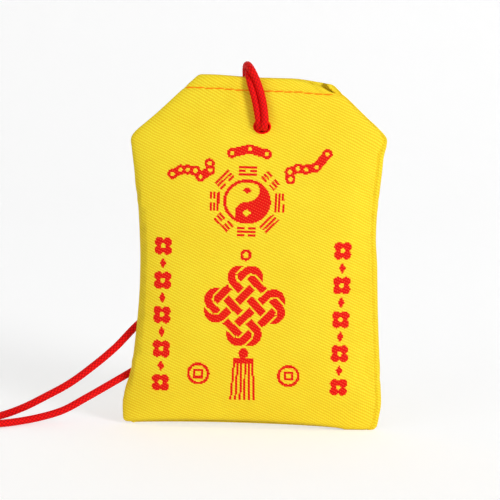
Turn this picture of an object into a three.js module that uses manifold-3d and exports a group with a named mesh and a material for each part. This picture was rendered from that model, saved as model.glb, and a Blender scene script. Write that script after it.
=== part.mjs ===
// An amulet pouch: two brocade panels sewn along the base, sides and slanted shoulders, with a hemmed
// mouth. A folded paper amulet stands between two wadding pads inside. A doubled cord passes through
// overcast eyelets in both panels, goes over the mouth and holds itself in a cow hitch at the back.
// Millimetres, +Z up, the front panel towards -Y, the pouch standing on its base at the origin.

import * as THREE from 'three';
import { mergeVertices } from 'three/addons/utils/BufferGeometryUtils.js';
import Module from 'manifold-3d';

// Outline of the pouch
const POUCH_HEIGHT = 90;
const POUCH_WIDTH = 65.8;
const BASE_SPREAD = 0.2;
const BASE_WIDEST_HEIGHT = 6;
const BASE_CORNER_RADIUS = 2;
const BASE_ARCH = 1.4;
const BASE_FLAT_LENGTH = 12;
const WAIST_PULL = 5.4;
const WAIST_HEIGHT = 46;
const SHOULDER_DROP = 15.5;
const SHOULDER_ROUND = 2;
const MOUTH_WIDTH = 33.4;
const SIDE_FLARE = 1.8;

// Cloth, seams and how far the filled pouch stands out
const CLOTH = 0.7;
const SEAM_GAP = 0.3;
const HEM_HEIGHT = 4;
const HEM_STEP = 0.3;
const MOUTH_GAP = 1;
const POUCH_DEPTH = 10.4;
const FULLEST_HEIGHT = 36;
const WADDING_TOP_DEPTH = 8.4;
const EYELET_DEPTH = 5.2;
const BASE_TUCK = 1;
const BASE_ROLL = 3;
const SECTION_FULLNESS = 2.6;

// Filling
const WADDING_DROP = 12;
const WADDING_LIFT = 5;
const PAPER = 0.3;
const FOLD_GAP = 0.35;
const FOLD_LAYERS = 4;
const AMULET_WIDTH = 40;
const AMULET_TRAVEL = 15;
const FIT_CLEARANCE = 0.3;

// Eyelets and cord
const EYELET_DROP = 12;
const RING_WALL = 0.4;
const RING_PROUD = 0.25;
const RING_CLEARANCE = 0.2;
const RING_BEVEL = 0.12;
const CORD_DIAMETER = 1.8;
const STRAND_GAP = 0.3;
const BORE_CLEARANCE = 0.2;
const CORD_CLEARANCE = 0.35;
const HITCH_SLACK = 1;
const HITCH_BEND = 1.7;
const HITCH_LEAN = -13;
const FRONT_LEG_BEND_SHARE = 0.6;
const BACK_LEG_BEND_SHARE = 0.5;
const FLOOR_CLEARANCE = 0.05;

// Cord that is laid aside in a long two-layer coil of both strands, and the knot that ends it
const COIL_TURNS = 1;
const COIL_INNER_RADIUS = 4.8;
const COIL_STRAIGHT = 20;
const COIL_GAP = 0.5;
const COIL_LAYER_GAP = 0.5;
const KNOT_TURNS = 3;
const KNOT_GAP = 0.7;
const KNOT_LEAD = 9;
const TAIL_LENGTH = 4;

// Places that follow from the sizes above, the pouch's width being that across its shoulders
const BASE_WIDTH = POUCH_WIDTH + BASE_SPREAD;
const WAIST_WIDTH = POUCH_WIDTH - WAIST_PULL;
const EYELET_HEIGHT = POUCH_HEIGHT - EYELET_DROP;
const SHOULDER_HEIGHT = POUCH_HEIGHT - SHOULDER_DROP;
const WADDING_TOP = EYELET_HEIGHT - WADDING_DROP;
const CORD_RADIUS = CORD_DIAMETER / 2;
const PAIR_OFFSET = (CORD_DIAMETER + STRAND_GAP) / 2;
const BORE_RADIUS = PAIR_OFFSET + CORD_RADIUS + BORE_CLEARANCE;
const RING_RADIUS = BORE_RADIUS + RING_WALL;
const CORD_LIE = CORD_RADIUS + FLOOR_CLEARANCE;
const COIL_PITCH = CORD_DIAMETER + COIL_GAP;
const AMULET_DEPTH = FOLD_LAYERS * PAPER + (FOLD_LAYERS - 1) * FOLD_GAP;

// Fineness of the facets
const PANEL_COLUMNS = 20;
const PANEL_ROWS = 15;
const SHOULDER_ROWS = 4;
const PAD_COLUMNS = 14;
const PAD_ROWS = 9;
const RING_SEGMENTS = 24;
const FOLD_SEGMENTS = 5;
const CORD_SIDES = 8;
const COIL_SIDES = 6;
const LOOP_STEPS = 24;
const STRAND_STEPS = 40;
const HITCH_STEPS = 84;
const COIL_DIVISIONS = 1600;
const KNOT_DIVISIONS = 800;

const BROCADE = { color: 0xf3d32b, roughness: 0.62, metalness: 0 };
const WADDING = { color: 0xf4f1e8, roughness: 0.95, metalness: 0 };
const AMULET_PAPER = { color: 0xe9b93a, roughness: 0.85, metalness: 0 };
const RED_CORD = { color: 0xc41218, roughness: 0.55, metalness: 0 };
const RED_THREAD = { color: 0xb5141a, roughness: 0.6, metalness: 0 };

const wasm = await Module();
wasm.setup();

const pouch = new THREE.Group();

function addMesh(parent, name, geometry, finish) {
  const mesh = new THREE.Mesh(geometry, new THREE.MeshStandardMaterial(finish));
  mesh.name = name;
  parent.add(mesh);
  return mesh;
}

// Cubic curve through stations [place, value] that never overshoots them.
function profile(stations) {
  const rise = stations.slice(1).map(([x, y], i) => (y - stations[i][1]) / (x - stations[i][0]));
  const slope = stations.map((_, i) => {
    const before = rise[Math.max(i - 1, 0)];
    const after = rise[Math.min(i, rise.length - 1)];
    return before * after > 0 ? (2 * before * after) / (before + after) : 0;
  });
  return (x) => {
    const next = stations.findIndex(([place]) => place >= x);
    const i = Math.max((next < 0 ? stations.length : next) - 1, 0);
    const [x0, y0] = stations[i];
    const [x1, y1] = stations[Math.min(i + 1, stations.length - 1)];
    const span = x1 - x0 || 1;
    const t = (x - x0) / span;
    const ends = y0 + (y1 - y0) * t * t * (3 - 2 * t);
    return ends + span * t * (1 - t) * (slope[i] * (1 - t) - slope[Math.min(i + 1, slope.length - 1)] * t);
  };
}

function smoothMin(a, b, radius) {
  const h = Math.max(radius - Math.abs(a - b), 0) / radius;
  return Math.min(a, b) - (h * h * radius) / 4;
}

// Half the width at height z: a waist that flares both ways, rounded base corners, slanted shoulders.
function halfWidth(z) {
  const low = z < WAIST_HEIGHT;
  const reach = low ? WAIST_HEIGHT - BASE_WIDEST_HEIGHT : SHOULDER_HEIGHT - WAIST_HEIGHT;
  const flare = (low ? BASE_WIDTH : POUCH_WIDTH) - WAIST_WIDTH;
  const away = Math.min(Math.abs(z - WAIST_HEIGHT) / reach, 1);
  const side = (WAIST_WIDTH + flare * away ** SIDE_FLARE) / 2;
  const slope = (POUCH_WIDTH - MOUTH_WIDTH) / 2 / SHOULDER_DROP;
  const slant = MOUTH_WIDTH / 2 + (POUCH_HEIGHT - z) * slope;
  const into = Math.max(BASE_CORNER_RADIUS - z, 0);
  const corner = BASE_CORNER_RADIUS - Math.sqrt(BASE_CORNER_RADIUS ** 2 - into ** 2);
  return smoothMin(side, slant, SHOULDER_ROUND) - corner;
}

// Half the depth at height z on the middle line, from the rolled base up to the flat mouth.
const MOUTH_HALF_DEPTH = 2 * CLOTH + MOUTH_GAP / 2;
const BASE_HALF_DEPTH = CLOTH + BASE_TUCK;
const upperHalfDepth = profile([
  [FULLEST_HEIGHT, POUCH_DEPTH / 2],
  [WADDING_TOP, WADDING_TOP_DEPTH / 2],
  [EYELET_HEIGHT, EYELET_DEPTH / 2],
  [POUCH_HEIGHT, MOUTH_HALF_DEPTH],
]);

function halfDepth(z) {
  if (z >= FULLEST_HEIGHT) return upperHalfDepth(z);
  const below = (FULLEST_HEIGHT - z) / FULLEST_HEIGHT;
  const roll = Math.sqrt(1 - below ** BASE_ROLL);
  return BASE_HALF_DEPTH + (POUCH_DEPTH / 2 - BASE_HALF_DEPTH) * roll;
}

// The base lifts off the ground between its two corner flats, and the lift fades out upwards.
function baseLift(x, z) {
  const reach = BASE_WIDTH / 2 - BASE_FLAT_LENGTH;
  const inside = Math.max(1 - (x / reach) ** 2, 0);
  const fade = Math.max(1 - z / FULLEST_HEIGHT, 0);
  return BASE_ARCH * inside ** 2 * fade ** 2;
}

// One cross line of a panel at height z, set in from the outer face by inset, from the right-hand edge
// to the left-hand one. The line starts and ends at the distance start from the middle plane.
function crossLine(z, inset, start, side, columns) {
  const a = halfWidth(z) - inset;
  const b = halfDepth(z) - inset;
  const first = Math.asin(Math.min(start / b, 1));
  return Array.from({ length: columns + 1 }, (_, i) => {
    const angle = first + ((Math.PI - 2 * first) * i) / columns;
    const c = Math.cos(angle);
    const x = a * Math.sign(c) * Math.abs(c) ** (2 / SECTION_FULLNESS);
    const y = side * Math.max(b * Math.sin(angle), start);
    return new THREE.Vector3(x, y, z + baseLift(x, z));
  });
}

// The same line pressed flat onto the plane at the distance depth from the middle plane.
function flattened(line, depth, side) {
  return line.map((p) => new THREE.Vector3(p.x, side * depth, p.z));
}

// A closed wall between two grids of points that match row by row and column by column.
function wallGeometry(outer, inner) {
  const rows = outer.length;
  const columns = outer[0].length;
  const position = [...outer.flat(), ...inner.flat()].flatMap((p) => p.toArray());
  const out = (r, c) => r * columns + c;
  const within = (r, c) => rows * columns + r * columns + c;
  const index = [];
  const quad = (a, b, c, d) => index.push(a, b, c, a, c, d);
  for (let r = 0; r < rows - 1; r += 1) {
    for (let c = 0; c < columns - 1; c += 1) {
      quad(out(r, c), out(r, c + 1), out(r + 1, c + 1), out(r + 1, c));
      quad(within(r, c), within(r + 1, c), within(r + 1, c + 1), within(r, c + 1));
    }
    quad(out(r, 0), out(r + 1, 0), within(r + 1, 0), within(r, 0));
    const last = columns - 1;
    quad(out(r, last), within(r, last), within(r + 1, last), out(r + 1, last));
  }
  for (let c = 0; c < columns - 1; c += 1) {
    const top = rows - 1;
    quad(out(0, c), within(0, c), within(0, c + 1), out(0, c + 1));
    quad(out(top, c), out(top, c + 1), within(top, c + 1), within(top, c));
  }
  const raw = new THREE.BufferGeometry();
  raw.setAttribute('position', new THREE.Float32BufferAttribute(position, 3));
  raw.setIndex(index);
  return facingOut(withoutSlivers(mergeVertices(raw)));
}

function withoutSlivers(geometry) {
  const source = geometry.index.array;
  const kept = [];
  for (let i = 0; i < source.length; i += 3) {
    const [a, b, c] = source.slice(i, i + 3);
    if (a !== b && b !== c && c !== a) kept.push(a, b, c);
  }
  geometry.setIndex(kept);
  return geometry;
}

function facingOut(geometry) {
  const at = (i) => new THREE.Vector3().fromBufferAttribute(geometry.attributes.position, i);
  const order = geometry.index.array;
  let volume = 0;
  for (let i = 0; i < order.length; i += 3) {
    volume += at(order[i]).dot(at(order[i + 1]).cross(at(order[i + 2])));
  }
  if (volume < 0) geometry.setIndex(Array.from(order).reverse());
  geometry.computeVertexNormals();
  return geometry;
}

function solidOf(geometry) {
  const bare = geometry.clone();
  bare.deleteAttribute('normal');
  bare.deleteAttribute('uv');
  const merged = mergeVertices(bare);
  const vertProperties = merged.attributes.position.array;
  const triVerts = new Uint32Array(merged.index.array);
  return new wasm.Manifold(new wasm.Mesh({ numProp: 3, vertProperties, triVerts }));
}

function cutFrom(geometry, tool) {
  const mesh = solidOf(geometry).subtract(solidOf(tool)).getMesh();
  const cut = new THREE.BufferGeometry();
  cut.setAttribute('position', new THREE.BufferAttribute(mesh.vertProperties, 3));
  cut.setIndex(new THREE.BufferAttribute(mesh.triVerts, 1));
  cut.computeVertexNormals();
  return cut;
}

// Heights of a panel's rows, closest together at the base and the shoulders.
function panelHeights() {
  const sides = Array.from({ length: PANEL_ROWS + 1 }, (_, i) => {
    return (SHOULDER_HEIGHT * (1 - Math.cos((Math.PI * i) / PANEL_ROWS))) / 2;
  });
  const hemFoot = POUCH_HEIGHT - HEM_HEIGHT;
  const rise = hemFoot - HEM_STEP - SHOULDER_HEIGHT;
  const slants = Array.from({ length: SHOULDER_ROWS }, (_, i) => {
    return SHOULDER_HEIGHT + (rise * (i + 1)) / SHOULDER_ROWS;
  });
  return [...sides, ...slants, hemFoot, POUCH_HEIGHT];
}

// One panel: a shell of cloth with its base turned under to the seam and its hem folded in at the mouth.
function panelGeometry(side) {
  const heights = panelHeights();
  const seam = SEAM_GAP / 2;
  const hemFoot = POUCH_HEIGHT - HEM_HEIGHT;
  const outer = heights.map((z) => crossLine(z, 0, seam, side, PANEL_COLUMNS));
  const inner = heights.map((z) => {
    const inset = z < hemFoot ? CLOTH : 2 * CLOTH;
    return crossLine(Math.max(z, CLOTH), inset, seam, side, PANEL_COLUMNS);
  });
  const shell = wallGeometry(
    [flattened(outer[0], seam, side), ...outer],
    [flattened(inner[0], seam, side), ...inner],
  );
  const bore = new THREE.CylinderGeometry(
    RING_RADIUS + RING_CLEARANCE,
    RING_RADIUS + RING_CLEARANCE,
    POUCH_DEPTH,
    RING_SEGMENTS,
  );
  bore.translate(0, (side * POUCH_DEPTH) / 2, EYELET_HEIGHT);
  return cutFrom(shell, bore);
}

// A wadding pad: crowned to the inside of its panel, flat against the amulet.
function paddingGeometry(side) {
  const flat = AMULET_DEPTH / 2 + FIT_CLEARANCE;
  const inset = CLOTH + FIT_CLEARANCE;
  const heights = Array.from({ length: PAD_ROWS + 1 }, (_, i) => {
    const share = (1 - Math.cos((Math.PI * i) / PAD_ROWS)) / 2;
    return WADDING_LIFT + (WADDING_TOP - WADDING_LIFT) * share;
  });
  const crown = heights.map((z) => crossLine(z, inset, flat, side, PAD_COLUMNS));
  return wallGeometry(crown, crown.map((line) => flattened(line, flat, side)));
}

// The amulet: one sheet of paper folded like a fan, seen from above as a winding band.
function amuletGeometry(height) {
  const pitch = PAPER + FOLD_GAP;
  const bend = pitch / 2;
  const reach = AMULET_WIDTH / 2 - bend - PAPER / 2;
  const edge = (offset) => {
    const points = [];
    for (let layer = 0; layer < FOLD_LAYERS; layer += 1) {
      const y = -AMULET_DEPTH / 2 + PAPER / 2 + layer * pitch;
      const way = layer % 2 ? -1 : 1;
      points.push(new THREE.Vector2(-way * reach, y + way * offset));
      points.push(new THREE.Vector2(way * reach, y + way * offset));
      if (layer === FOLD_LAYERS - 1) break;
      for (let i = 1; i < FOLD_SEGMENTS; i += 1) {
        const angle = -Math.PI / 2 + (Math.PI * i) / FOLD_SEGMENTS;
        const radius = bend - way * offset;
        const x = way * (reach + radius * Math.cos(angle));
        points.push(new THREE.Vector2(x, y + bend + radius * Math.sin(angle)));
      }
    }
    return points;
  };
  const band = new THREE.Shape([...edge(-PAPER / 2), ...edge(PAPER / 2).reverse()]);
  return new THREE.ExtrudeGeometry(band, { depth: height, bevelEnabled: false });
}

// The overcast edge of an eyelet: a short thick-walled ring through the cloth, its axis along Y.
function ringGeometry() {
  const half = CLOTH / 2 + RING_PROUD;
  const profilePoints = [
    [BORE_RADIUS, -half + RING_BEVEL],
    [BORE_RADIUS + RING_BEVEL, -half],
    [RING_RADIUS - RING_BEVEL, -half],
    [RING_RADIUS, -half + RING_BEVEL],
    [RING_RADIUS, half - RING_BEVEL],
    [RING_RADIUS - RING_BEVEL, half],
    [BORE_RADIUS + RING_BEVEL, half],
    [BORE_RADIUS, half - RING_BEVEL],
    [BORE_RADIUS, -half + RING_BEVEL],
  ].map(([r, y]) => new THREE.Vector2(r, y));
  return new THREE.LatheGeometry(profilePoints, RING_SEGMENTS);
}

function cordGeometry(curve, sides, steps) {
  const section = Array.from({ length: sides }, (_, i) => {
    const angle = (2 * Math.PI * i) / sides;
    return new THREE.Vector2(CORD_RADIUS * Math.cos(angle), CORD_RADIUS * Math.sin(angle));
  });
  return new THREE.ExtrudeGeometry(new THREE.Shape(section), {
    steps,
    bevelEnabled: false,
    extrudePath: curve,
  });
}

function splineThrough(points) {
  const vectors = points.map((p) => (p.isVector3 ? p : new THREE.Vector3(...p)));
  return new THREE.CatmullRomCurve3(vectors, false, 'centripetal');
}

// Least clear distance between parts of one cord that lie apart along it.
function leastGap(curve) {
  const length = curve.getLength();
  const count = Math.ceil(length / (CORD_DIAMETER / 4));
  const points = curve.getSpacedPoints(count);
  const apart = Math.ceil((4 * CORD_DIAMETER * count) / length);
  let least = Infinity;
  for (let i = 0; i < count; i += 1) {
    for (let j = i + apart; j <= count; j += 1) {
      least = Math.min(least, points[i].distanceTo(points[j]));
    }
  }
  return least - CORD_DIAMETER;
}

// Where the cord stands off the cloth at the front, over the mouth and at the back loop.
const FRONT_LEG = EYELET_DEPTH / 2 + RING_PROUD + CORD_CLEARANCE + CORD_RADIUS;
const ARCH_RADIUS = MOUTH_HALF_DEPTH + CORD_CLEARANCE + CORD_RADIUS;
const ARCH_RISE = EYELET_DROP + HITCH_SLACK;
const LOOP_RADIUS = PAIR_OFFSET + CORD_DIAMETER + CORD_CLEARANCE;
const LOOP_DEPTH = halfDepth(EYELET_HEIGHT - LOOP_RADIUS - CORD_RADIUS) + CORD_CLEARANCE + CORD_RADIUS;
const PASS_END = EYELET_DEPTH / 2 + RING_PROUD;

// The cow hitch, upright about the middle of the eyelets: out of the back eyelet through to the front,
// up, over the mouth and down to the loop that goes round both strands, and back the same way.
function hitchCurve() {
  const quarter = Math.SQRT1_2;
  const half = [
    [PAIR_OFFSET, PASS_END, 0],
    [PAIR_OFFSET, 0, 0],
    [PAIR_OFFSET, HITCH_BEND - FRONT_LEG, 0],
    [PAIR_OFFSET, -FRONT_LEG + HITCH_BEND * (1 - quarter), HITCH_BEND * (1 - quarter)],
    [PAIR_OFFSET, -FRONT_LEG, HITCH_BEND],
    [PAIR_OFFSET, -(FRONT_LEG + ARCH_RADIUS) / 2, ARCH_RISE * FRONT_LEG_BEND_SHARE],
    [PAIR_OFFSET, -ARCH_RADIUS, ARCH_RISE],
    [PAIR_OFFSET, -ARCH_RADIUS * quarter, ARCH_RISE + ARCH_RADIUS * quarter],
    [PAIR_OFFSET, 0, ARCH_RISE + ARCH_RADIUS],
    [PAIR_OFFSET, ARCH_RADIUS * quarter, ARCH_RISE + ARCH_RADIUS * quarter],
    [PAIR_OFFSET, ARCH_RADIUS, ARCH_RISE],
    [(PAIR_OFFSET + LOOP_RADIUS) / 2, (ARCH_RADIUS + LOOP_DEPTH) / 2, ARCH_RISE * BACK_LEG_BEND_SHARE],
    [LOOP_RADIUS, LOOP_DEPTH, CORD_RADIUS],
    [LOOP_RADIUS * quarter, LOOP_DEPTH, -LOOP_RADIUS * quarter],
    [0, LOOP_DEPTH, -LOOP_RADIUS],
  ];
  const mirrored = half.slice(0, -1).reverse().map(([x, y, z]) => [-x, y, z]);
  return splineThrough([...half, ...mirrored]);
}

// A place beside the pouch, in shares of half its base's width and half its depth. It is at a share of the
// height, or with the cord lying on the ground.
function beside(across, behind, up) {
  const z = up === undefined ? CORD_LIE : up * POUCH_HEIGHT;
  return [(across * BASE_WIDTH) / 2, (behind * POUCH_DEPTH) / 2, z];
}

const [ROUTE_END_X, ROUTE_END_Y] = beside(-2.89, -1.337);

// Each strand leaves the back eyelet, hangs behind the pouch and sweeps forward to the ground at the left.
function strandCurve(hand, route) {
  const lean = THREE.MathUtils.degToRad(HITCH_LEAN);
  const x = hand * PAIR_OFFSET * Math.cos(lean);
  const z = EYELET_HEIGHT - hand * PAIR_OFFSET * Math.sin(lean);
  const clearOfLoop = LOOP_DEPTH + CORD_RADIUS;
  const end = ROUTE_END_Y + (hand < 0 ? COIL_PITCH : -COIL_PITCH) / 2;
  return splineThrough([
    [x, PASS_END + SEAM_GAP, z],
    [x, clearOfLoop - CORD_RADIUS, z],
    [x, clearOfLoop + CORD_CLEARANCE + CORD_RADIUS, z - CORD_DIAMETER],
    ...route.map((place) => beside(...place)),
    [ROUTE_END_X + CORD_DIAMETER, end, CORD_LIE],
    [ROUTE_END_X, end, CORD_LIE],
  ]);
}

const UPPER_ROUTE = [
  [-0.048, 1.38, 0.789],
  [-0.127, 1.38, 0.678],
  [-0.261, 1.34, 0.567],
  [-0.455, 1.24, 0.456],
  [-0.685, 0.96, 0.362],
  [-0.93, 0.58, 0.277],
  [-1.085, 0.35, 0.216],
  [-1.261, 0.13, 0.16],
  [-1.436, -0.08, 0.112],
  [-1.609, -0.23, 0.076],
  [-1.785, -0.31, 0.042],
  [-1.964, -0.37, 0.017],
  [-2.106, -0.72],
  [-2.258, -0.98],
  [-2.43, -1.09],
];

const LOWER_ROUTE = [
  [0.042, 1.38, 0.778],
  [0.024, 1.38, 0.644],
  [-0.067, 1.38, 0.5],
  [-0.255, 1.32, 0.371],
  [-0.497, 1.15, 0.267],
  [-0.733, 0.88, 0.196],
  [-0.964, 0.48, 0.144],
  [-1.121, 0.12, 0.111],
  [-1.294, -0.35, 0.076],
  [-1.467, -0.69, 0.042],
  [-1.642, -0.88, 0.022],
  [-1.812, -1.23, 0.012],
  [-1.939, -1.73],
  [-2.06, -1.95],
  [-2.2, -1.9],
  [-2.37, -1.68],
  [-2.52, -1.58],
];

// One strand of the laid-up pair: in along the ground, round and inwards on the lower layer, up a layer
// along the innermost straight, out again on the upper layer and straight on through the knot to its cut
// end. It goes bend by bend, each followed by a straight, with the bends at the left and right in turn.
const COIL_START_X = ROUTE_END_X - SEAM_GAP - CORD_DIAMETER;
const COIL_RISE = CORD_DIAMETER + COIL_LAYER_GAP;
const COIL_TURN_PITCH = 2 * COIL_PITCH;
const KNOT_LENGTH = KNOT_TURNS * (CORD_DIAMETER + KNOT_GAP);

class CoilCurve extends THREE.Curve {
  constructor(offset) {
    super();
    this.offset = offset;
    this.arcLengthDivisions = COIL_DIVISIONS;
    this.bend = (Math.PI * (CoilCurve.radiusAfter(0) + COIL_INNER_RADIUS)) / 2;
    this.stage = this.bend + COIL_STRAIGHT;
    this.lead = CORD_DIAMETER;
    this.run = KNOT_LEAD + KNOT_LENGTH + TAIL_LENGTH;
  }

  static radiusAfter(bends) {
    return COIL_INNER_RADIUS + (COIL_TURN_PITCH * Math.abs(bends - COIL_TURNS)) / 2;
  }

  static get centreY() {
    return ROUTE_END_Y + CoilCurve.radiusAfter(0);
  }

  heightAt(bends, onward) {
    const climb = bends - COIL_TURNS + 1 + Math.max(onward, 0) / COIL_STRAIGHT;
    const share = THREE.MathUtils.clamp(climb, 0, 1);
    return CORD_LIE + (COIL_RISE * (1 - Math.cos(Math.PI * share))) / 2;
  }

  getPoint(t, target = new THREE.Vector3()) {
    const along = t * (this.lead + 2 * COIL_TURNS * this.stage + this.run) - this.lead;
    const bends = THREE.MathUtils.clamp(Math.floor(along / this.stage), 0, 2 * COIL_TURNS - 1);
    const into = along - bends * this.stage;
    const bent = THREE.MathUtils.clamp(into / this.bend, 0, 1);
    const onward = into - bent * this.bend;
    const isLeft = bends % 2 === 0;
    const middle = COIL_START_X + (isLeft ? 0 : COIL_STRAIGHT);
    const way = isLeft && onward > 0 ? 1 : -1;
    const before = CoilCurve.radiusAfter(bends);
    const after = CoilCurve.radiusAfter(bends + 1);
    const radius = THREE.MathUtils.lerp(before, after, THREE.MathUtils.smoothstep(bent, 0, 1)) + this.offset;
    const angle = -Math.PI / 2 - Math.PI * (bends + bent);
    return target.set(
      middle + radius * Math.cos(angle) + way * onward,
      CoilCurve.centreY + radius * Math.sin(angle),
      this.heightAt(bends, onward),
    );
  }
}

// The end knot: one strand wrapped round both, flattened as it lies on the ground, with straight ends.
class KnotCurve extends THREE.Curve {
  constructor() {
    super();
    this.arcLengthDivisions = KNOT_DIVISIONS;
    this.wide = COIL_PITCH / 2 + CORD_DIAMETER + FIT_CLEARANCE;
    this.high = CORD_DIAMETER + FIT_CLEARANCE;
    this.stub = CORD_DIAMETER / (2 * Math.PI * this.wide);
  }

  getPoint(t, target = new THREE.Vector3()) {
    const along = t * (KNOT_TURNS + 2 * this.stub) - this.stub;
    const turn = THREE.MathUtils.clamp(along, 0, KNOT_TURNS);
    const angle = 2 * Math.PI * turn - Math.PI / 2;
    const past = (along - turn) * 2 * Math.PI * this.wide;
    return target.set(
      COIL_START_X - KNOT_LEAD - CORD_RADIUS - turn * (CORD_DIAMETER + KNOT_GAP),
      ROUTE_END_Y + this.wide * Math.cos(angle) + past,
      CORD_LIE + COIL_RISE + this.high * Math.sin(angle),
    );
  }
}

function coilSteps(curve) {
  const loops = curve.getLength() / (2 * Math.PI * CoilCurve.radiusAfter(0));
  return Math.ceil(loops * LOOP_STEPS);
}

// Panels, eyelets and wadding, front and back alike
const faces = [
  ['front', -1],
  ['back', 1],
];
for (const [face, side] of faces) {
  addMesh(pouch, `${face}_panel`, panelGeometry(side), BROCADE);
  const ring = addMesh(pouch, `${face}_eyelet`, ringGeometry(), RED_THREAD);
  ring.position.set(0, side * (EYELET_DEPTH / 2 - CLOTH / 2), EYELET_HEIGHT);
  addMesh(pouch, `${face}_wadding`, paddingGeometry(side), WADDING);
}

// The amulet stands on the lifted middle of the base and may rise until the cord stops it.
const amuletFoot = CLOTH + BASE_ARCH + FIT_CLEARANCE;
const amuletTop = EYELET_HEIGHT - BORE_RADIUS - FIT_CLEARANCE - AMULET_TRAVEL;
const amulet = addMesh(pouch, 'folded_amulet', amuletGeometry(amuletTop - amuletFoot), AMULET_PAPER);
amulet.position.z = amuletFoot;

// The hitch leans to the left about the eyelets
const hitchPivot = new THREE.Group();
hitchPivot.position.z = EYELET_HEIGHT;
hitchPivot.rotation.y = THREE.MathUtils.degToRad(HITCH_LEAN);
pouch.add(hitchPivot);
addMesh(hitchPivot, 'cord_hitch', cordGeometry(hitchCurve(), CORD_SIDES, HITCH_STEPS), RED_CORD);

// The two free strands, their coils and the knot
const strands = [
  ['upper_strand', -1, UPPER_ROUTE],
  ['lower_strand', 1, LOWER_ROUTE],
];
for (const [name, hand, route] of strands) {
  const free = strandCurve(hand, route);
  addMesh(pouch, name, cordGeometry(free, CORD_SIDES, STRAND_STEPS), RED_CORD);
  const coil = new CoilCurve((hand * COIL_PITCH) / 2);
  addMesh(pouch, `${name}_coil`, cordGeometry(coil, COIL_SIDES, coilSteps(coil)), RED_CORD);
  const lengths = `${free.getLength().toFixed(1)} mm free and ${coil.getLength().toFixed(1)} mm coiled`;
  console.log(`${name}: ${lengths}, least gap in the coil ${leastGap(coil).toFixed(2)} mm`);
}
const knot = new KnotCurve();
addMesh(pouch, 'end_knot', cordGeometry(knot, COIL_SIDES, LOOP_STEPS * KNOT_TURNS), RED_CORD);
console.log(`end_knot: least gap to itself ${leastGap(knot).toFixed(2)} mm`);

export default pouch;
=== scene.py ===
"""An amulet pouch of yellow brocade on a doubled red cord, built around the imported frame.

The file is laid out as an add-on and run as a script. Shapes are worked out in millimetres in the frame's
own axes, +Z up and the front towards -Y, and become metres when a mesh is made.
"""

import math

import bmesh
import bpy
import numpy as np
from bpy.props import FloatProperty, FloatVectorProperty, IntProperty, PointerProperty
from mathutils import Matrix, Vector


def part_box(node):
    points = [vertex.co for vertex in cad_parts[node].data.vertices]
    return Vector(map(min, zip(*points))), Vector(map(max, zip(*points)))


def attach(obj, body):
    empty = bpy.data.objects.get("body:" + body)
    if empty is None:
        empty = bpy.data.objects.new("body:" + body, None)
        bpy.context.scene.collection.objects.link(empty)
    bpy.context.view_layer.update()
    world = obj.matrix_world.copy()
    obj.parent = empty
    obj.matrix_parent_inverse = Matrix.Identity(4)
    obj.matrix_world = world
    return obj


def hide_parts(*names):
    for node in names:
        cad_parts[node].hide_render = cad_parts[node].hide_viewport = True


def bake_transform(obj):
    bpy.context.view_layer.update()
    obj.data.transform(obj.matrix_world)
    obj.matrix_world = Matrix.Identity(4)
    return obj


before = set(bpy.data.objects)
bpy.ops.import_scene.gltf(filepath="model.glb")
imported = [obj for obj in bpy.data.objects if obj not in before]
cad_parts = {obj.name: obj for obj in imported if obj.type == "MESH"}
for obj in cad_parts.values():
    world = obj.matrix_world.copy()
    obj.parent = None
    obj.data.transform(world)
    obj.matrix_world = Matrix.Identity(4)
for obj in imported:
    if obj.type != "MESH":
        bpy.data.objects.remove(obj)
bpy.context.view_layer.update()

bl_info = {
    "name": "Amulet Pouch",
    "version": (1, 0, 0),
    "blender": (4, 5, 0),
    "location": "View3D > Sidebar > Pouch",
    "description": "Builds a padded brocade amulet pouch with its braided cord and a plain studio stage",
    "category": "Add Mesh",
}

MM = 0.001
FRONT, BACK = -1, 1
TINY = 1e-9
HITCH_LEAN = 13

# Outline of the pouch that the sizes below leave as it is
BASE_WIDEST_HEIGHT = 6.0
BASE_CORNER_RADIUS = 1.4
SHOULDER_ROUND = 2.0
SIDE_FLARE = 1.8
SECTION_FULLNESS = 2.6
BASE_HALF_DEPTH = 1.7
BASE_ROLL = 3.0
BASE_TURN = 1.2
MOUTH_HALF_DEPTH = 1.9
WADDING_TOP = 66.0
WADDING_TOP_HALF_DEPTH = 4.2
EYELET_HALF_DEPTH = 2.6
# The base's arch, which reaches further to the left than to the right
ARCH_RISE = 1.6
ARCH_MIDDLE = -5.0
ARCH_REACH = 29.5
ARCH_FULLNESS = 0.65


def srgb(red, green, blue):
    """A colour as it is named on a screen, from 0 to 255, as the linear values that shaders take."""
    shares = [value / 255 for value in (red, green, blue)]
    return tuple(s / 12.92 if s <= 0.04045 else ((s + 0.055) / 1.055) ** 2.4 for s in shares)


def length_property(name, description, millimetres):
    default = millimetres * MM
    return FloatProperty(name=name, description=description, default=default, unit="LENGTH", precision=5)


def angle_property(name, description, degrees):
    default = math.radians(degrees)
    return FloatProperty(name=name, description=description, default=default, subtype="ANGLE")


def power_property(name, description, watts):
    return FloatProperty(name=name, description=description, default=watts, unit="POWER")


def colour_property(name, description, default):
    return FloatVectorProperty(
        name=name, description=description, default=default, subtype="COLOR", size=3, min=0, max=1
    )


def box_size(node):
    """Size of a node of the frame in millimetres."""
    low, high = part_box(node)
    return (high - low) / MM


def box_middle(node):
    """Middle of a node of the frame in millimetres."""
    low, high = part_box(node)
    return (high + low) / 2 / MM


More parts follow.
